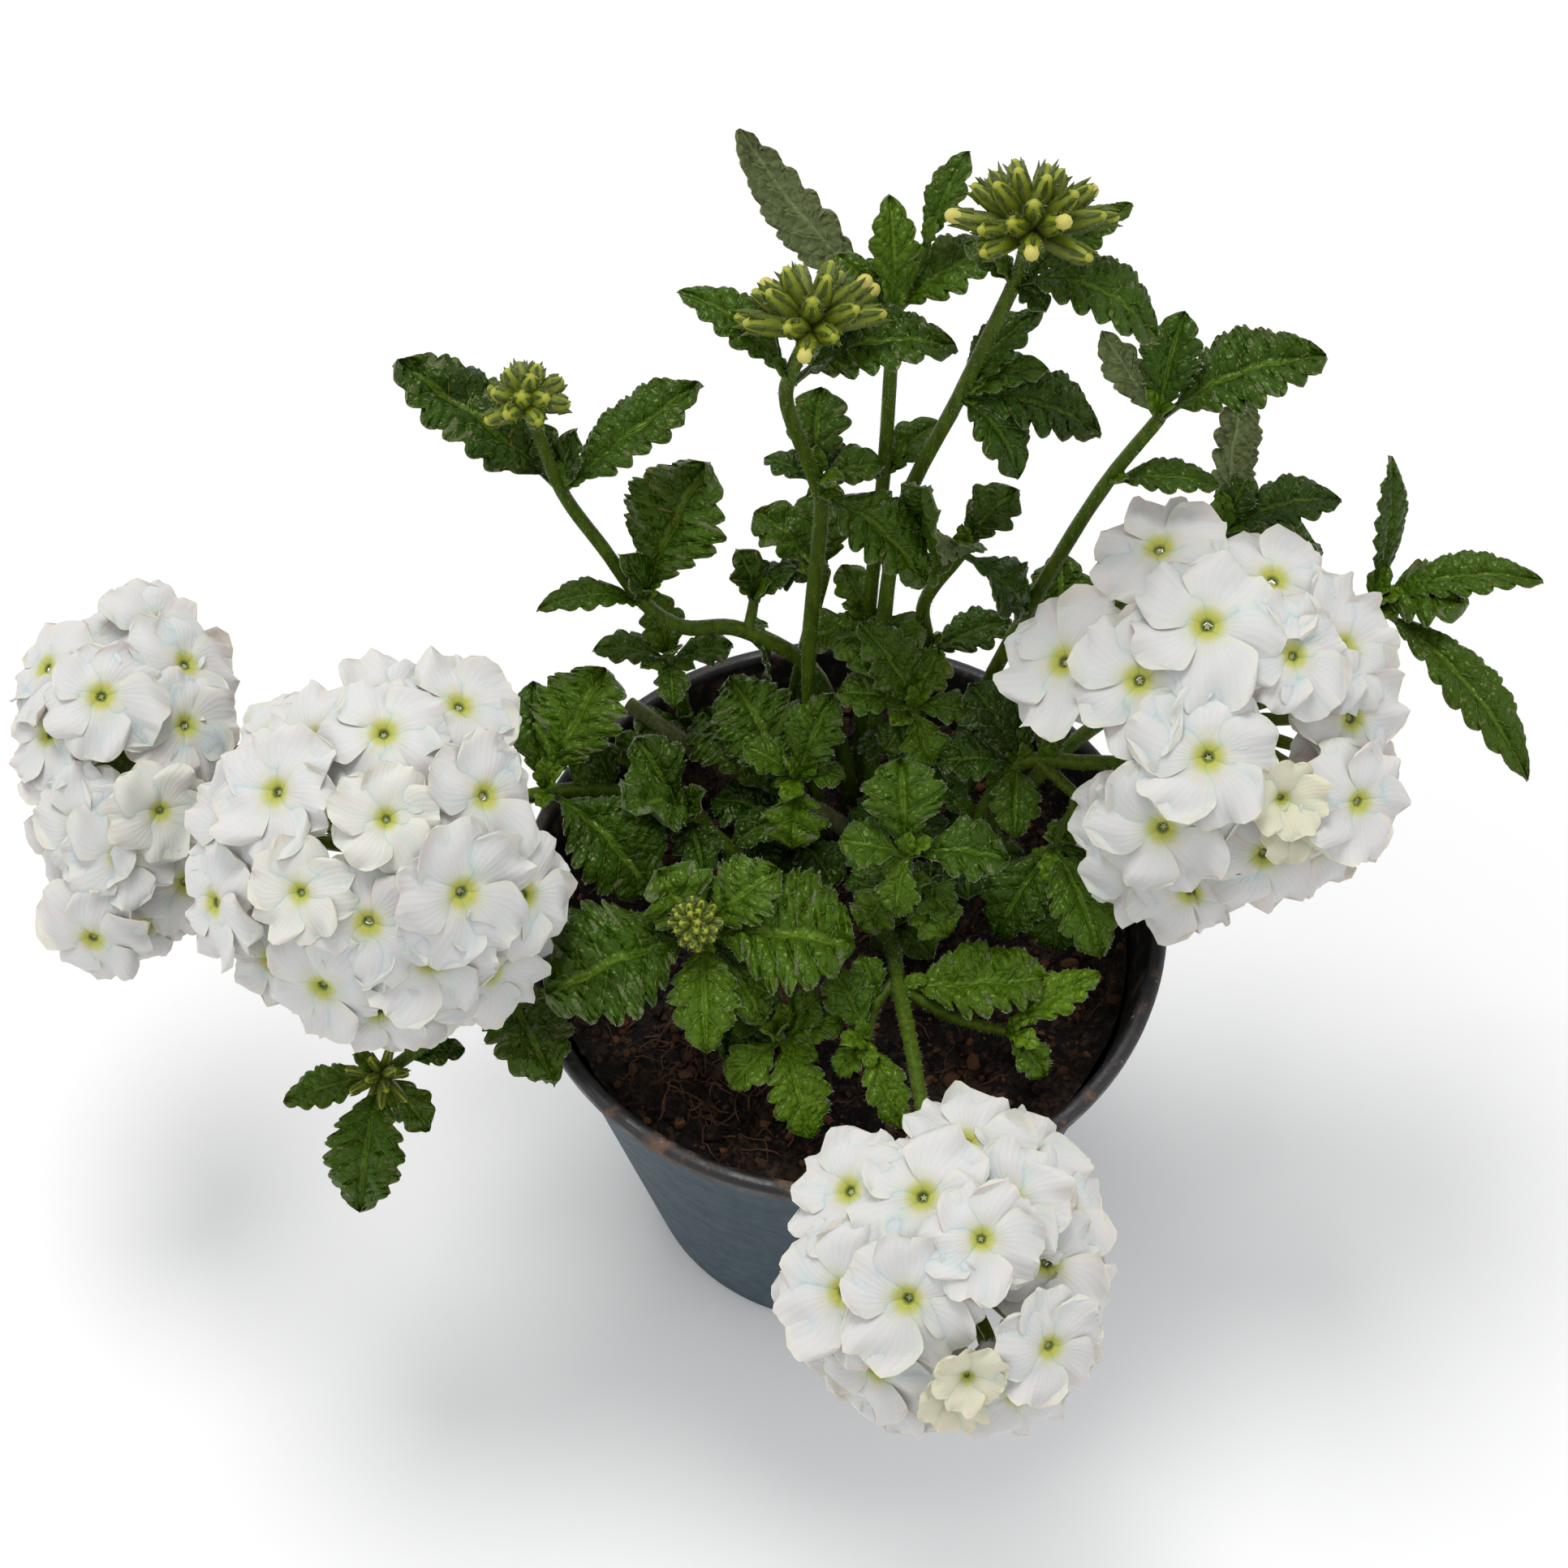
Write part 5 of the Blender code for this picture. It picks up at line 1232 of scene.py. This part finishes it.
def leaf_finish(settings):
    """Crinkled green above, grey-green below, with paler veins and edges, and painted shade in the sunken
    grooves and network lines.
    """
    f = Finish("verbena_leaf")
    phase, under, young, across = f.paint()
    side = f.maths("ABSOLUTE", across)
    from_vein = f.maths("ABSOLUTE", f.maths("SUBTRACT", f.maths("FRACT", phase), 0.5))
    side_vein = f.times(f.ranged(from_vein, 0.075, 0.02), f.ranged(side, 0.98, 0.7))
    vein = f.maths("MAXIMUM", f.ranged(side, 0.085, 0.03), f.times(side_vein, 0.75))
    broad = f.grain(90.0, 3.0)
    fine = f.grain(900.0, 3.0)
    net = f.node("ShaderNodeTexVoronoi", {"Vector": f.place(), "Scale": 560.0}, feature="DISTANCE_TO_EDGE")
    net = f.maths("ADD", net.outputs["Distance"], f.ranged(fine, 0.3, 0.7, -0.04, 0.04))
    dark = scaled(settings.upper, 0.45)
    upper = f.mix(f.ranged(broad, 0.35, 0.68), dark, scaled(settings.upper, 1.6))
    upper = f.mix(f.ranged(young, 0.1, 1.0), upper, settings.young)
    # Painted shade: darker green along the sunken lines of the fine network.
    upper = f.mix(f.ranged(net, 0.0, 0.2, 0.3, 0.0), upper, dark)
    # Painted shade: darker green in the sunken grooves beside the side veins, under the paler vein lines.
    upper = f.mix(f.ranged(from_vein, 0.14, 0.07, 0.0, 0.35), upper, dark)
    upper = f.mix(f.times(vein, f.ranged(young, 0.0, 0.6, 0.4, 0.85)), upper, settings.vein)
    lower = f.mix(f.ranged(fine, 0.3, 0.7), scaled(settings.lower, 0.7), settings.lower)
    lower = f.mix(f.times(vein, 0.7), lower, scaled(settings.lower, 1.6))
    colour = f.mix(under, upper, lower)
    colour = f.mix(f.ranged(side, 0.93, 1.0, 0.0, 0.3), colour, (0.17, 0.22, 0.1))
    rough = f.maths("ADD", f.ranged(fine, 0.3, 0.7, 0.24, 0.4), f.times(under, 0.25))
    sunk = f.times(vein, f.ranged(under, 0.0, 1.0, -1.0, 1.0))
    normal = f.bump(sunk, 0.8, 0.0004)
    normal = f.bump(f.ranged(net, 0.0, 0.3), 0.5, 0.0004, normal)
    normal = f.bump(f.grain(2400.0, 3.0), 0.3, 0.0001, normal)
    return f.wear(
        colour, rough, normal, Subsurface_Weight=0.08, Subsurface_Scale=0.001, Specular_IOR_Level=0.38,
        Specular_Tint=(0.75, 1.0, 0.42),
    )


def stem_finish(name, colour):
    """Smooth green with fine lengthwise streaks."""
    f = Finish(name)
    streak = f.node("ShaderNodeMapping", {"Vector": f.place(), "Scale": (1.0, 1.0, 0.12)}).outputs["Vector"]
    lines = f.node("ShaderNodeTexNoise", {"Vector": streak, "Scale": 900.0, "Detail": 3.0}).outputs["Fac"]
    blotch = f.grain(120.0, 3.0)
    base = f.mix(f.ranged(lines, 0.35, 0.65), scaled(colour, 0.7), scaled(colour, 1.35))
    base = f.mix(f.ranged(blotch, 0.55, 0.75, 0.0, 0.5), base, scaled(colour, (1.5, 0.75, 1.0)))
    normal = f.bump(lines, 0.35, 0.0002)
    return f.wear(
        base, 0.5, normal, Subsurface_Weight=0.12, Subsurface_Scale=0.001, Specular_IOR_Level=0.28,
        Specular_Tint=(0.8, 1.0, 0.45),
    )


def hair_finish():
    """Pale plant hair."""
    f = Finish("verbena_hair")
    colour = f.mix(f.grain(400.0, 2.0), (0.42, 0.46, 0.34), (0.66, 0.68, 0.58))
    return f.wear(colour, 0.5, None, Subsurface_Weight=0.2, Subsurface_Scale=0.0005)


def petal_finish(settings):
    """Cool white with faint rays, a greenish yellow halo, a dark throat and creamy edges."""
    f = Finish("verbena_petal")
    reach, young, vein, edge = f.paint()
    rays = f.maths("SINE", f.times(vein, 75.0))
    soft = f.grain(260.0, 3.0)
    white = settings.white
    streaks = f.times(f.ranged(rays, 0.2, 1.0), f.ranged(soft, 0.3, 0.75, 0.1, 0.6))
    colour = f.mix(streaks, white, scaled(white, (0.92, 0.93, 0.94)))
    colour = f.mix(f.times(edge, 0.3), colour, settings.cream)
    colour = f.mix(f.times(young, 0.9), colour, settings.cream)
    pale = tuple(0.55 * a + 0.45 * b for a, b in zip(white, settings.halo))
    near = f.ranged(f.maths("ADD", reach, f.ranged(soft, 0.3, 0.7, -0.04, 0.04)), 0.42, 0.16)
    colour = f.mix(f.times(near, 0.8), colour, pale)
    colour = f.mix(f.ranged(reach, 0.25, 0.13), colour, settings.halo)
    colour = f.mix(f.ranged(reach, 0.1, 0.06), colour, settings.throat)
    normal = f.bump(rays, 0.16, 0.0001)
    normal = f.bump(f.grain(420.0, 3.0), 0.3, 0.0003, normal)
    return f.wear(
        colour, 0.55, normal, Subsurface_Weight=0.25, Subsurface_Scale=0.001, Sheen_Weight=0.1,
        Specular_IOR_Level=0.3,
    )


def calyx_finish(settings):
    """Dark green ribs with paler skin between them, and the yellow tip of a closed corolla."""
    f = Finish("verbena_calyx")
    ripe, rib, light, _ = f.paint()
    fine = f.grain(700.0, 3.0)
    green = settings.green
    pale = scaled(green, (3.2, 2.5, 1.5))
    base = f.mix(f.ranged(fine, 0.3, 0.7), scaled(green, 0.45), scaled(green, 1.1))
    base = f.mix(f.times(f.ranged(light, 0.3, 1.0), f.ranged(rib, 0.7, 0.0)), base, pale)
    base = f.mix(ripe, base, settings.tip)
    normal = f.bump(f.grain(1500.0, 3.0), 0.4, 0.0002)
    return f.wear(base, 0.5, normal, Subsurface_Weight=0.1, Subsurface_Scale=0.0008, Specular_IOR_Level=0.35)


def soil_finish(settings):
    """Dark damp soil with dry brown crumbs, each of its own shade."""
    f = Finish("verbena_soil")
    bright, red, _, _ = f.paint()
    fine = f.grain(900.0, 6.0, 0.7)
    broad = f.grain(110.0, 4.0)
    chips = f.node("ShaderNodeTexVoronoi", {"Vector": f.place(), "Scale": 950.0, "Randomness": 1.0})
    chip = f.node("ShaderNodeSeparateColor", {"Color": chips.outputs["Color"]}).outputs[0]
    mixed = f.maths("ADD", f.times(fine, 0.7), f.times(broad, 0.5))
    colour = f.mix(f.ranged(mixed, 0.59, 0.8), settings.dark, scaled(settings.light, 0.38))
    colour = f.mix(f.ranged(chip, 0.78, 0.9, 0.0, 0.45), colour, scaled(settings.light, 0.7))
    colour = f.mix(bright, colour, settings.light)
    colour = f.mix(f.times(bright, red), colour, scaled(settings.light, (1.35, 0.95, 0.65)))
    rough = f.ranged(fine, 0.3, 0.7, 0.95, 0.6)
    normal = f.bump(fine, 1.0, 0.0012)
    normal = f.bump(f.grain(3000.0, 4.0), 0.5, 0.0003, normal)
    return f.wear(colour, rough, normal, Specular_IOR_Level=0.35)


def pot_outside_finish(settings):
    """Matte blue-grey moulded plastic with faint scuffs."""
    f = Finish("verbena_pot_outside")
    broad = f.grain(18.0, 4.0)
    fine = f.grain(1400.0, 3.0)
    dust = f.grain(240.0, 6.0, 0.65)
    base = settings.outside
    colour = f.mix(f.ranged(broad, 0.3, 0.7), scaled(base, 0.82), scaled(base, 1.18))
    colour = f.mix(f.ranged(dust, 0.62, 0.8, 0.0, 0.22), colour, (0.09, 0.12, 0.135))
    rough = f.ranged(dust, 0.3, 0.7, settings.roughness - 0.06, settings.roughness + 0.12)
    normal = f.bump(fine, 0.25, 0.00015)
    return f.wear(colour, rough, normal, Specular_IOR_Level=0.22)


def pot_inside_finish(settings):
    """Black plastic with brown wear, dust and pale dried drops."""
    f = Finish("verbena_pot_inside")
    splash = f.grain(170.0, 7.0, 0.7)
    broad = f.grain(45.0, 3.0)
    drops = f.cells(330.0)
    colour = f.mix(f.ranged(splash, 0.53, 0.66), settings.inside, settings.wear)
    spots = f.times(f.ranged(drops, 0.16, 0.08), f.ranged(broad, 0.5, 0.62))
    colour = f.mix(f.times(spots, 0.6), colour, (0.34, 0.31, 0.27))
    rough = f.ranged(splash, 0.4, 0.7, 0.32, 0.85)
    normal = f.bump(splash, 0.4, 0.0005)
    return f.wear(colour, rough, normal)


def floor_finish(settings):
    """Plain pale paper."""
    f = Finish("verbena_floor")
    colour = f.mix(f.grain(4.0, 2.0), scaled(settings.floor, 0.99), settings.floor)
    return f.wear(colour, 0.9)


def pot_wall_radius(z):
    """The outer radius of the pot's tapering wall at a height."""
    part = z / (POT_HEIGHT - RIM_BAND)
    return BASE_RADIUS + (RIM_RADIUS - RIM_OVERHANG - BASE_RADIUS) * part


def rounded(profile, radius, steps):
    """A profile with each inner corner rounded."""
    made = [profile[0]]
    for before, here, after in zip(profile, profile[1:], profile[2:]):
        a, b, c = (Vector((*p, 0.0)) for p in (before, here, after))
        reach = min(radius, (a - b).length * 0.45, (c - b).length * 0.45)
        start = b + (a - b).normalized() * reach
        end = b + (c - b).normalized() * reach
        for k in range(steps + 1):
            t = k / steps
            p = start * (1 - t) ** 2 + b * 2 * t * (1 - t) + end * t * t
            made.append((p.x, p.y))
    made.append(profile[-1])
    return made


def pot_profile():
    """The pot's section as (radius, height) pairs, from the middle of its floor to the middle of its base."""
    inner_top = pot_wall_radius(POT_HEIGHT) - WALL
    band_foot = POT_HEIGHT - RIM_BAND
    corners = [
        (0.0, FLOOR),
        (pot_wall_radius(FLOOR) - WALL - BASE_ROUND, FLOOR),
        (pot_wall_radius(FLOOR + BASE_ROUND) - WALL, FLOOR + BASE_ROUND),
        (inner_top, POT_HEIGHT - RIM_ROUND),
        (inner_top + RIM_ROUND, POT_HEIGHT),
        (RIM_RADIUS - RIM_ROUND, POT_HEIGHT),
        (RIM_RADIUS, POT_HEIGHT - RIM_ROUND),
        (RIM_RADIUS - 0.2, band_foot + RIM_ROUND),
        (RIM_RADIUS - RIM_ROUND, band_foot),
        (pot_wall_radius(band_foot), band_foot),
        (pot_wall_radius(BASE_ROUND), BASE_ROUND),
        (BASE_RADIUS - BASE_ROUND, 0.0),
        (0.0, 0.0),
    ]
    return rounded(corners, 0.7, 3)


def turned(name, profile, steps):
    """A profile of (radius, height) pairs turned about Z."""
    mesh = bpy.data.meshes.new(name)
    points = [(radius * MM, 0.0, height * MM) for radius, height in profile]
    mesh.from_pydata(points, [(i, i + 1) for i in range(len(profile) - 1)], [])
    obj = placed(name, mesh)
    screw = obj.modifiers.new("Turn", "SCREW")
    screw.steps = steps
    screw.render_steps = steps
    screw.use_merge_vertices = True
    screw.merge_threshold = 0.00001
    return obj


def base_cutters():
    """Boxes for the drain channels and rods for the drain holes."""
    made = bpy.data.collections.new("pot_cutters")
    bpy.context.scene.collection.children.link(made)
    reach = BASE_RADIUS + 4.0 - CHANNEL_START
    for number in range(CHANNELS):
        place = Matrix.Rotation(math.radians(CHANNEL_TURN + 360.0 / CHANNELS * number), 4, "Z")
        bpy.ops.mesh.primitive_cube_add(size=1.0)
        box = bpy.context.object
        size = Matrix.Diagonal((reach * MM, CHANNEL_WIDTH * MM, 2 * CHANNEL_DEPTH * MM, 1.0))
        box.data.transform(Matrix.Translation(((CHANNEL_START + reach / 2) * MM, 0.0, 0.0)) @ size)
        bpy.ops.mesh.primitive_cylinder_add(vertices=32, radius=DRAIN_RADIUS * MM, depth=4 * FLOOR * MM)
        rod = bpy.context.object
        rod.data.transform(Matrix.Translation((DRAIN_RING * MM, 0.0, 0.0)))
        for cutter in (box, rod):
            cutter.matrix_world = place
            for old in list(cutter.users_collection):
                old.objects.unlink(cutter)
            made.objects.link(cutter)
    return made


def applied(obj):
    """The object's mesh with its modifiers applied."""
    graph = bpy.context.evaluated_depsgraph_get()
    mesh = bpy.data.meshes.new_from_object(obj.evaluated_get(graph), depsgraph=graph)
    obj.modifiers.clear()
    obj.data = mesh
    return mesh


def build_pot(context):
    """The turned cup with its channels and drain holes cut, and the rim and inside in their own material."""
    settings = context.scene.verbena_pot
    pot = turned("pot_cup", pot_profile(), POT_SIDES)
    cutters = base_cutters()
    cut = pot.modifiers.new("Cut", "BOOLEAN")
    cut.operation = "DIFFERENCE"
    cut.operand_type = "COLLECTION"
    cut.collection = cutters
    cut.solver = "EXACT"
    mesh = applied(pot)
    for cutter in list(cutters.objects):
        bpy.data.objects.remove(cutter, do_unlink=True)
    bpy.data.collections.remove(cutters)
    mesh.materials.clear()
    mesh.materials.append(pot_outside_finish(settings))
    mesh.materials.append(pot_inside_finish(settings))
    for face in mesh.polygons:
        radius = math.hypot(face.center.x, face.center.y) / MM
        height = face.center.z / MM
        inner = radius < pot_wall_radius(height) - 0.5 * WALL and height > FLOOR - 0.1
        face.material_index = 1 if inner or height > POT_HEIGHT - RIM_BAND + 0.3 else 0
    mesh.shade_smooth()
    mesh.set_sharp_from_angle(angle=math.radians(POT_CREASE))
    settle(pot, "pot")
    return finished(["pot_cup"])


def soil_height(x, y):
    """The lumpy top of the soil, a little higher at the left and the front, with a mound between them."""
    lumps = noise.noise(Vector((x / LUMP_SIZE, y / LUMP_SIZE, 3.7)))
    crumbs = noise.noise(Vector((x / CRUMB_SIZE, y / CRUMB_SIZE, 9.1)))
    grit = noise.noise(Vector((x / 2.6, y / 2.6, 5.3)))
    dust = noise.noise(Vector((x / 0.9, y / 0.9, 2.2)))
    height = SOIL_TOP + LUMP_HEIGHT * lumps + CRUMB_HEIGHT * crumbs - SOIL_SLOPE * (x + y)
    across, along = (x - MOUND[0]) / MOUND_WIDTH, (y - MOUND[1]) / MOUND_WIDTH
    mound = 2.2 * math.exp(-(across**2) - along**2)
    return height + 1.5 * abs(grit) ** 0.7 * math.copysign(1.0, grit) + 0.5 * dust + mound


def build_soil(context):
    """The filling with its lumpy top, and the loose crumbs and fibres on it."""
    settings = context.scene.verbena_soil
    growth = Growth(SOIL_SEED, {"soil": soil_finish(settings)})
    edge = pot_wall_radius(SOIL_TOP) - WALL - 2.5 * SEAT_GAP
    turns = turns_round(SOIL_SIDES)
    points = []
    for i in range(1, SOIL_RINGS + 1):
        radius = edge * (i / SOIL_RINGS) ** 0.8
        for turn in turns:
            x, y = radius * math.cos(turn), radius * math.sin(turn)
            points.append((x, y, soil_height(x, y)))
    lower = [
        (pot_wall_radius(FLOOR + BASE_ROUND) - WALL - 2 * SEAT_GAP, FLOOR + BASE_ROUND + SEAT_GAP),
        (pot_wall_radius(FLOOR) - WALL - BASE_ROUND - SEAT_GAP, FLOOR + SEAT_GAP),
    ]
    for radius, height in lower:
        points += [(radius * math.cos(turn), radius * math.sin(turn), height) for turn in turns]
    points += [(0.0, 0.0, soil_height(0.0, 0.0)), (0.0, 0.0, FLOOR + SEAT_GAP)]
    growth.add(points, capped_faces(SOIL_RINGS + len(lower), SOIL_SIDES)[:, ::-1], (0, 0, 0, 0), "soil")
    scatter_crumbs(growth, settings.crumbs, edge)
    scatter_fibres(growth, settings.fibres, edge)
    settle(growth.to_object("soil_filling", SOIL_CREASE), "soil")
    return finished(["soil_filling"])


def scatter_crumbs(growth, number, edge):
    """Loose lumps of many sizes and shades."""
    rng = growth.rng
    work = bmesh.new()
    bmesh.ops.create_icosphere(work, subdivisions=1, radius=1.0)
    shape = np.array([v.co for v in work.verts])
    faces = np.array([[v.index for v in face.verts] for face in work.faces])
    work.free()
    for _ in range(number):
        radius = edge * math.sqrt(rng.uniform(0, 0.96))
        turn = rng.uniform(0, 2 * math.pi)
        x, y = radius * math.cos(turn), radius * math.sin(turn)
        size = 0.3 + min(rng.exponential(0.42), 1.6)
        reach = size * rng.uniform(0.5, 1.2, 3)
        lump = shape * reach * rng.uniform(0.75, 1.15, (len(shape), 1))
        tilt = np.array(Matrix.Rotation(rng.uniform(0, 6.28), 3, Vector(rng.normal(0, 1, 3)).normalized()))
        lump = lump @ tilt.T + (x, y, soil_height(x, y) + 0.25 * size)
        if np.hypot(lump[:, 0], lump[:, 1]).max() > edge:
            continue
        bright = rng.uniform(0, 1) ** 2.8
        growth.add(lump, faces, (bright, rng.uniform(0, 1), 0.0, 0.0), "soil")


def scatter_fibres(growth, number, edge):
    """Loose curled fibres, most of them at the front left."""
    rng = growth.rng
    for _ in range(number):
        if rng.uniform(0, 1) < 0.6:
            x, y = rng.normal(-26, 10), rng.normal(-30, 9)
        else:
            radius, turn = edge * math.sqrt(rng.uniform(0, 0.85)), rng.uniform(0, 2 * math.pi)
            x, y = radius * math.cos(turn), radius * math.sin(turn)
        if math.hypot(x, y) > edge - 5:
            continue
        heading = rng.uniform(0, 2 * math.pi)
        length = rng.uniform(3, 9)
        points = []
        for k in range(6):
            arch = rng.uniform(0, 0.7) * math.sin(math.pi * k / 5)
            points.append(Vector((x, y, soil_height(x, y) + 0.35 + arch)))
            heading += rng.normal(0, 0.5)
            x += length / 5 * math.cos(heading)
            y += length / 5 * math.sin(heading)
        if max(math.hypot(p.x, p.y) for p in points) > edge - 1:
            continue
        thick = rng.uniform(0.09, 0.2)
        bright = rng.uniform(0.4, 1.0)
        tube(growth, points, [thick] * 5 + [0.4 * thick], 5, (bright, 0, 0, 0), "soil")


def soft_light(name, power):
    """A round lamp at its place in the plan, turned to the plant."""
    place, width, colour = LIGHTS[name]
    data = bpy.data.lights.new(name, "AREA")
    data.shape = "DISK"
    data.size = width
    data.energy = power
    data.color = colour
    lamp = placed(name, data)
    lamp.location = place
    lamp.rotation_euler = (Vector(place) - Vector(LIGHT_AIM)).to_track_quat("Z", "Y").to_euler()


def build_studio(context):
    """The floor, the lights, the even sky and the camera at the photo's angle."""
    scene = context.scene
    settings = scene.verbena_studio
    mesh = bpy.data.meshes.new("floor")
    corners = [(x * FLOOR_REACH, y * FLOOR_REACH, 0.0) for x, y in ((-1, -1), (1, -1), (1, 1), (-1, 1))]
    mesh.from_pydata(corners, [], [(0, 1, 2, 3)])
    mesh.materials.append(floor_finish(settings))
    floor = placed("floor", mesh)
    soft_light("key_light", settings.key)
    soft_light("fill_light", settings.fill)
    soft_light("left_light", settings.fill)
    scene.world = bpy.data.worlds.new("studio")
    scene.world.use_nodes = True
    background = scene.world.node_tree.nodes["Background"]
    background.inputs["Color"].default_value = SKY
    background.inputs["Strength"].default_value = SKY_STRENGTH
    scene.view_settings.view_transform = "Standard"
    lens = bpy.data.cameras.new("camera")
    lens.sensor_width = 36.0
    lens.lens = CAMERA_LENS
    lens.clip_start = 0.01
    scene.camera = placed("camera", lens)
    scene.camera.location = CAMERA_PLACE
    scene.camera.rotation_euler = (math.radians(90.0 - EYE_ELEVATION), 0.0, 0.0)
    return finished(["floor", *LIGHTS, "camera"])


def finished(names):
    """An operator's answer. Raises an error when a piece is missing or has no faces."""
    for name in names:
        made = bpy.data.objects.get(name)
        if made is None or (made.type == "MESH" and not made.data.polygons):
            raise RuntimeError(f"The piece {name} could not be built")
    return {"FINISHED"}


def grow_all(plans, grow, seed, *rest):
    """Grows one piece for each plan, each with a seed of its own."""
    for number, (name, plan) in enumerate(plans.items()):
        grow(name, plan, seed + number, *rest)
    return finished(name + "_grown" for name in plans)


def build_shoots(context):
    """All the leafy stems, in the same four materials."""
    leaves, stems = context.scene.verbena_leaf, context.scene.verbena_stem
    materials = {
        "leaf": leaf_finish(leaves),
        "stem": stem_finish("verbena_stem", stems.colour),
        "hair": hair_finish(),
        "calyx": calyx_finish(context.scene.verbena_bud),
    }
    return grow_all(SHOOTS, grow_shoot, SHOOT_SEED, materials, leaves, stems)


def build_old_stem(context):
    """The old cut stem, which has no leaves."""
    leaves, stems = context.scene.verbena_leaf, context.scene.verbena_stem
    woody = stem_finish("verbena_old_stem", stems.woody)
    materials = {"leaf": woody, "stem": woody, "hair": hair_finish()}
    return grow_all(OLD_STEM, grow_shoot, OLD_STEM_SEED, materials, leaves, stems)


def build_heads(context):
    """The four open flower heads."""
    florets, buds = context.scene.verbena_floret, context.scene.verbena_bud
    materials = {"petal": petal_finish(florets), "calyx": calyx_finish(buds), "hair": hair_finish()}
    return grow_all(HEADS, grow_head, HEAD_SEED, materials, florets)


def build_bud_heads(context):
    """The four heads of closed buds."""
    materials = {"calyx": calyx_finish(context.scene.verbena_bud), "hair": hair_finish()}
    return grow_all(BUDS, grow_bud_head, BUD_SEED, materials)


class VERBENA_OT_studio(bpy.types.Operator):
    """Adds the floor, the lights and the camera."""

    bl_idname = "verbena.studio"
    bl_label = "Studio"

    def execute(self, context):
        return build_studio(context)


class VERBENA_OT_pot(bpy.types.Operator):
    """Builds the nursery pot."""

    bl_idname = "verbena.pot"
    bl_label = "Pot"

    def execute(self, context):
        return build_pot(context)


class VERBENA_OT_soil(bpy.types.Operator):
    """Builds the soil with its crumbs and fibres."""

    bl_idname = "verbena.soil"
    bl_label = "Soil"

    def execute(self, context):
        return build_soil(context)


class VERBENA_OT_shoots(bpy.types.Operator):
    """Grows the leafy stems."""

    bl_idname = "verbena.shoots"
    bl_label = "Leafy stems"

    def execute(self, context):
        return build_shoots(context)


class VERBENA_OT_old_stem(bpy.types.Operator):
    """Builds the old cut stem."""

    bl_idname = "verbena.old_stem"
    bl_label = "Old cut stem"

    def execute(self, context):
        return build_old_stem(context)


class VERBENA_OT_heads(bpy.types.Operator):
    """Grows the open flower heads."""

    bl_idname = "verbena.heads"
    bl_label = "Flower heads"

    def execute(self, context):
        return build_heads(context)


class VERBENA_OT_bud_heads(bpy.types.Operator):
    """Grows the bud heads."""

    bl_idname = "verbena.bud_heads"
    bl_label = "Bud heads"

    def execute(self, context):
        return build_bud_heads(context)


OPERATORS = (
    VERBENA_OT_studio,
    VERBENA_OT_pot,
    VERBENA_OT_soil,
    VERBENA_OT_shoots,
    VERBENA_OT_old_stem,
    VERBENA_OT_heads,
    VERBENA_OT_bud_heads,
)


class VERBENA_PT_panel(bpy.types.Panel):
    """Lists the pieces and their sizes and colours."""

    bl_idname = "VERBENA_PT_panel"
    bl_label = "Verbena"
    bl_space_type = "VIEW_3D"
    bl_region_type = "UI"
    bl_category = "Verbena"

    def draw(self, context):
        for operator in OPERATORS:
            self.layout.operator(operator.bl_idname)
        for name, group in SETTINGS:
            box = self.layout.box()
            box.label(text=group.__doc__.strip("."))
            for key in group.__annotations__:
                box.prop(getattr(context.scene, name), key)


def register():
    """Registers the settings, the operators and the panel."""
    for name, group in SETTINGS:
        bpy.utils.register_class(group)
        setattr(bpy.types.Scene, name, PointerProperty(type=group))
    for cls in (*OPERATORS, VERBENA_PT_panel):
        bpy.utils.register_class(cls)


def unregister():
    """Takes them all out again."""
    for cls in reversed((*OPERATORS, VERBENA_PT_panel)):
        bpy.utils.unregister_class(cls)
    for name, group in reversed(SETTINGS):
        delattr(bpy.types.Scene, name)
        bpy.utils.unregister_class(group)


def main():
    """Builds every piece."""
    register()
    bpy.ops.verbena.studio()
    bpy.ops.verbena.pot()
    bpy.ops.verbena.soil()
    bpy.ops.verbena.shoots()
    bpy.ops.verbena.old_stem()
    bpy.ops.verbena.heads()
    bpy.ops.verbena.bud_heads()


if __name__ == "__main__":
    main()
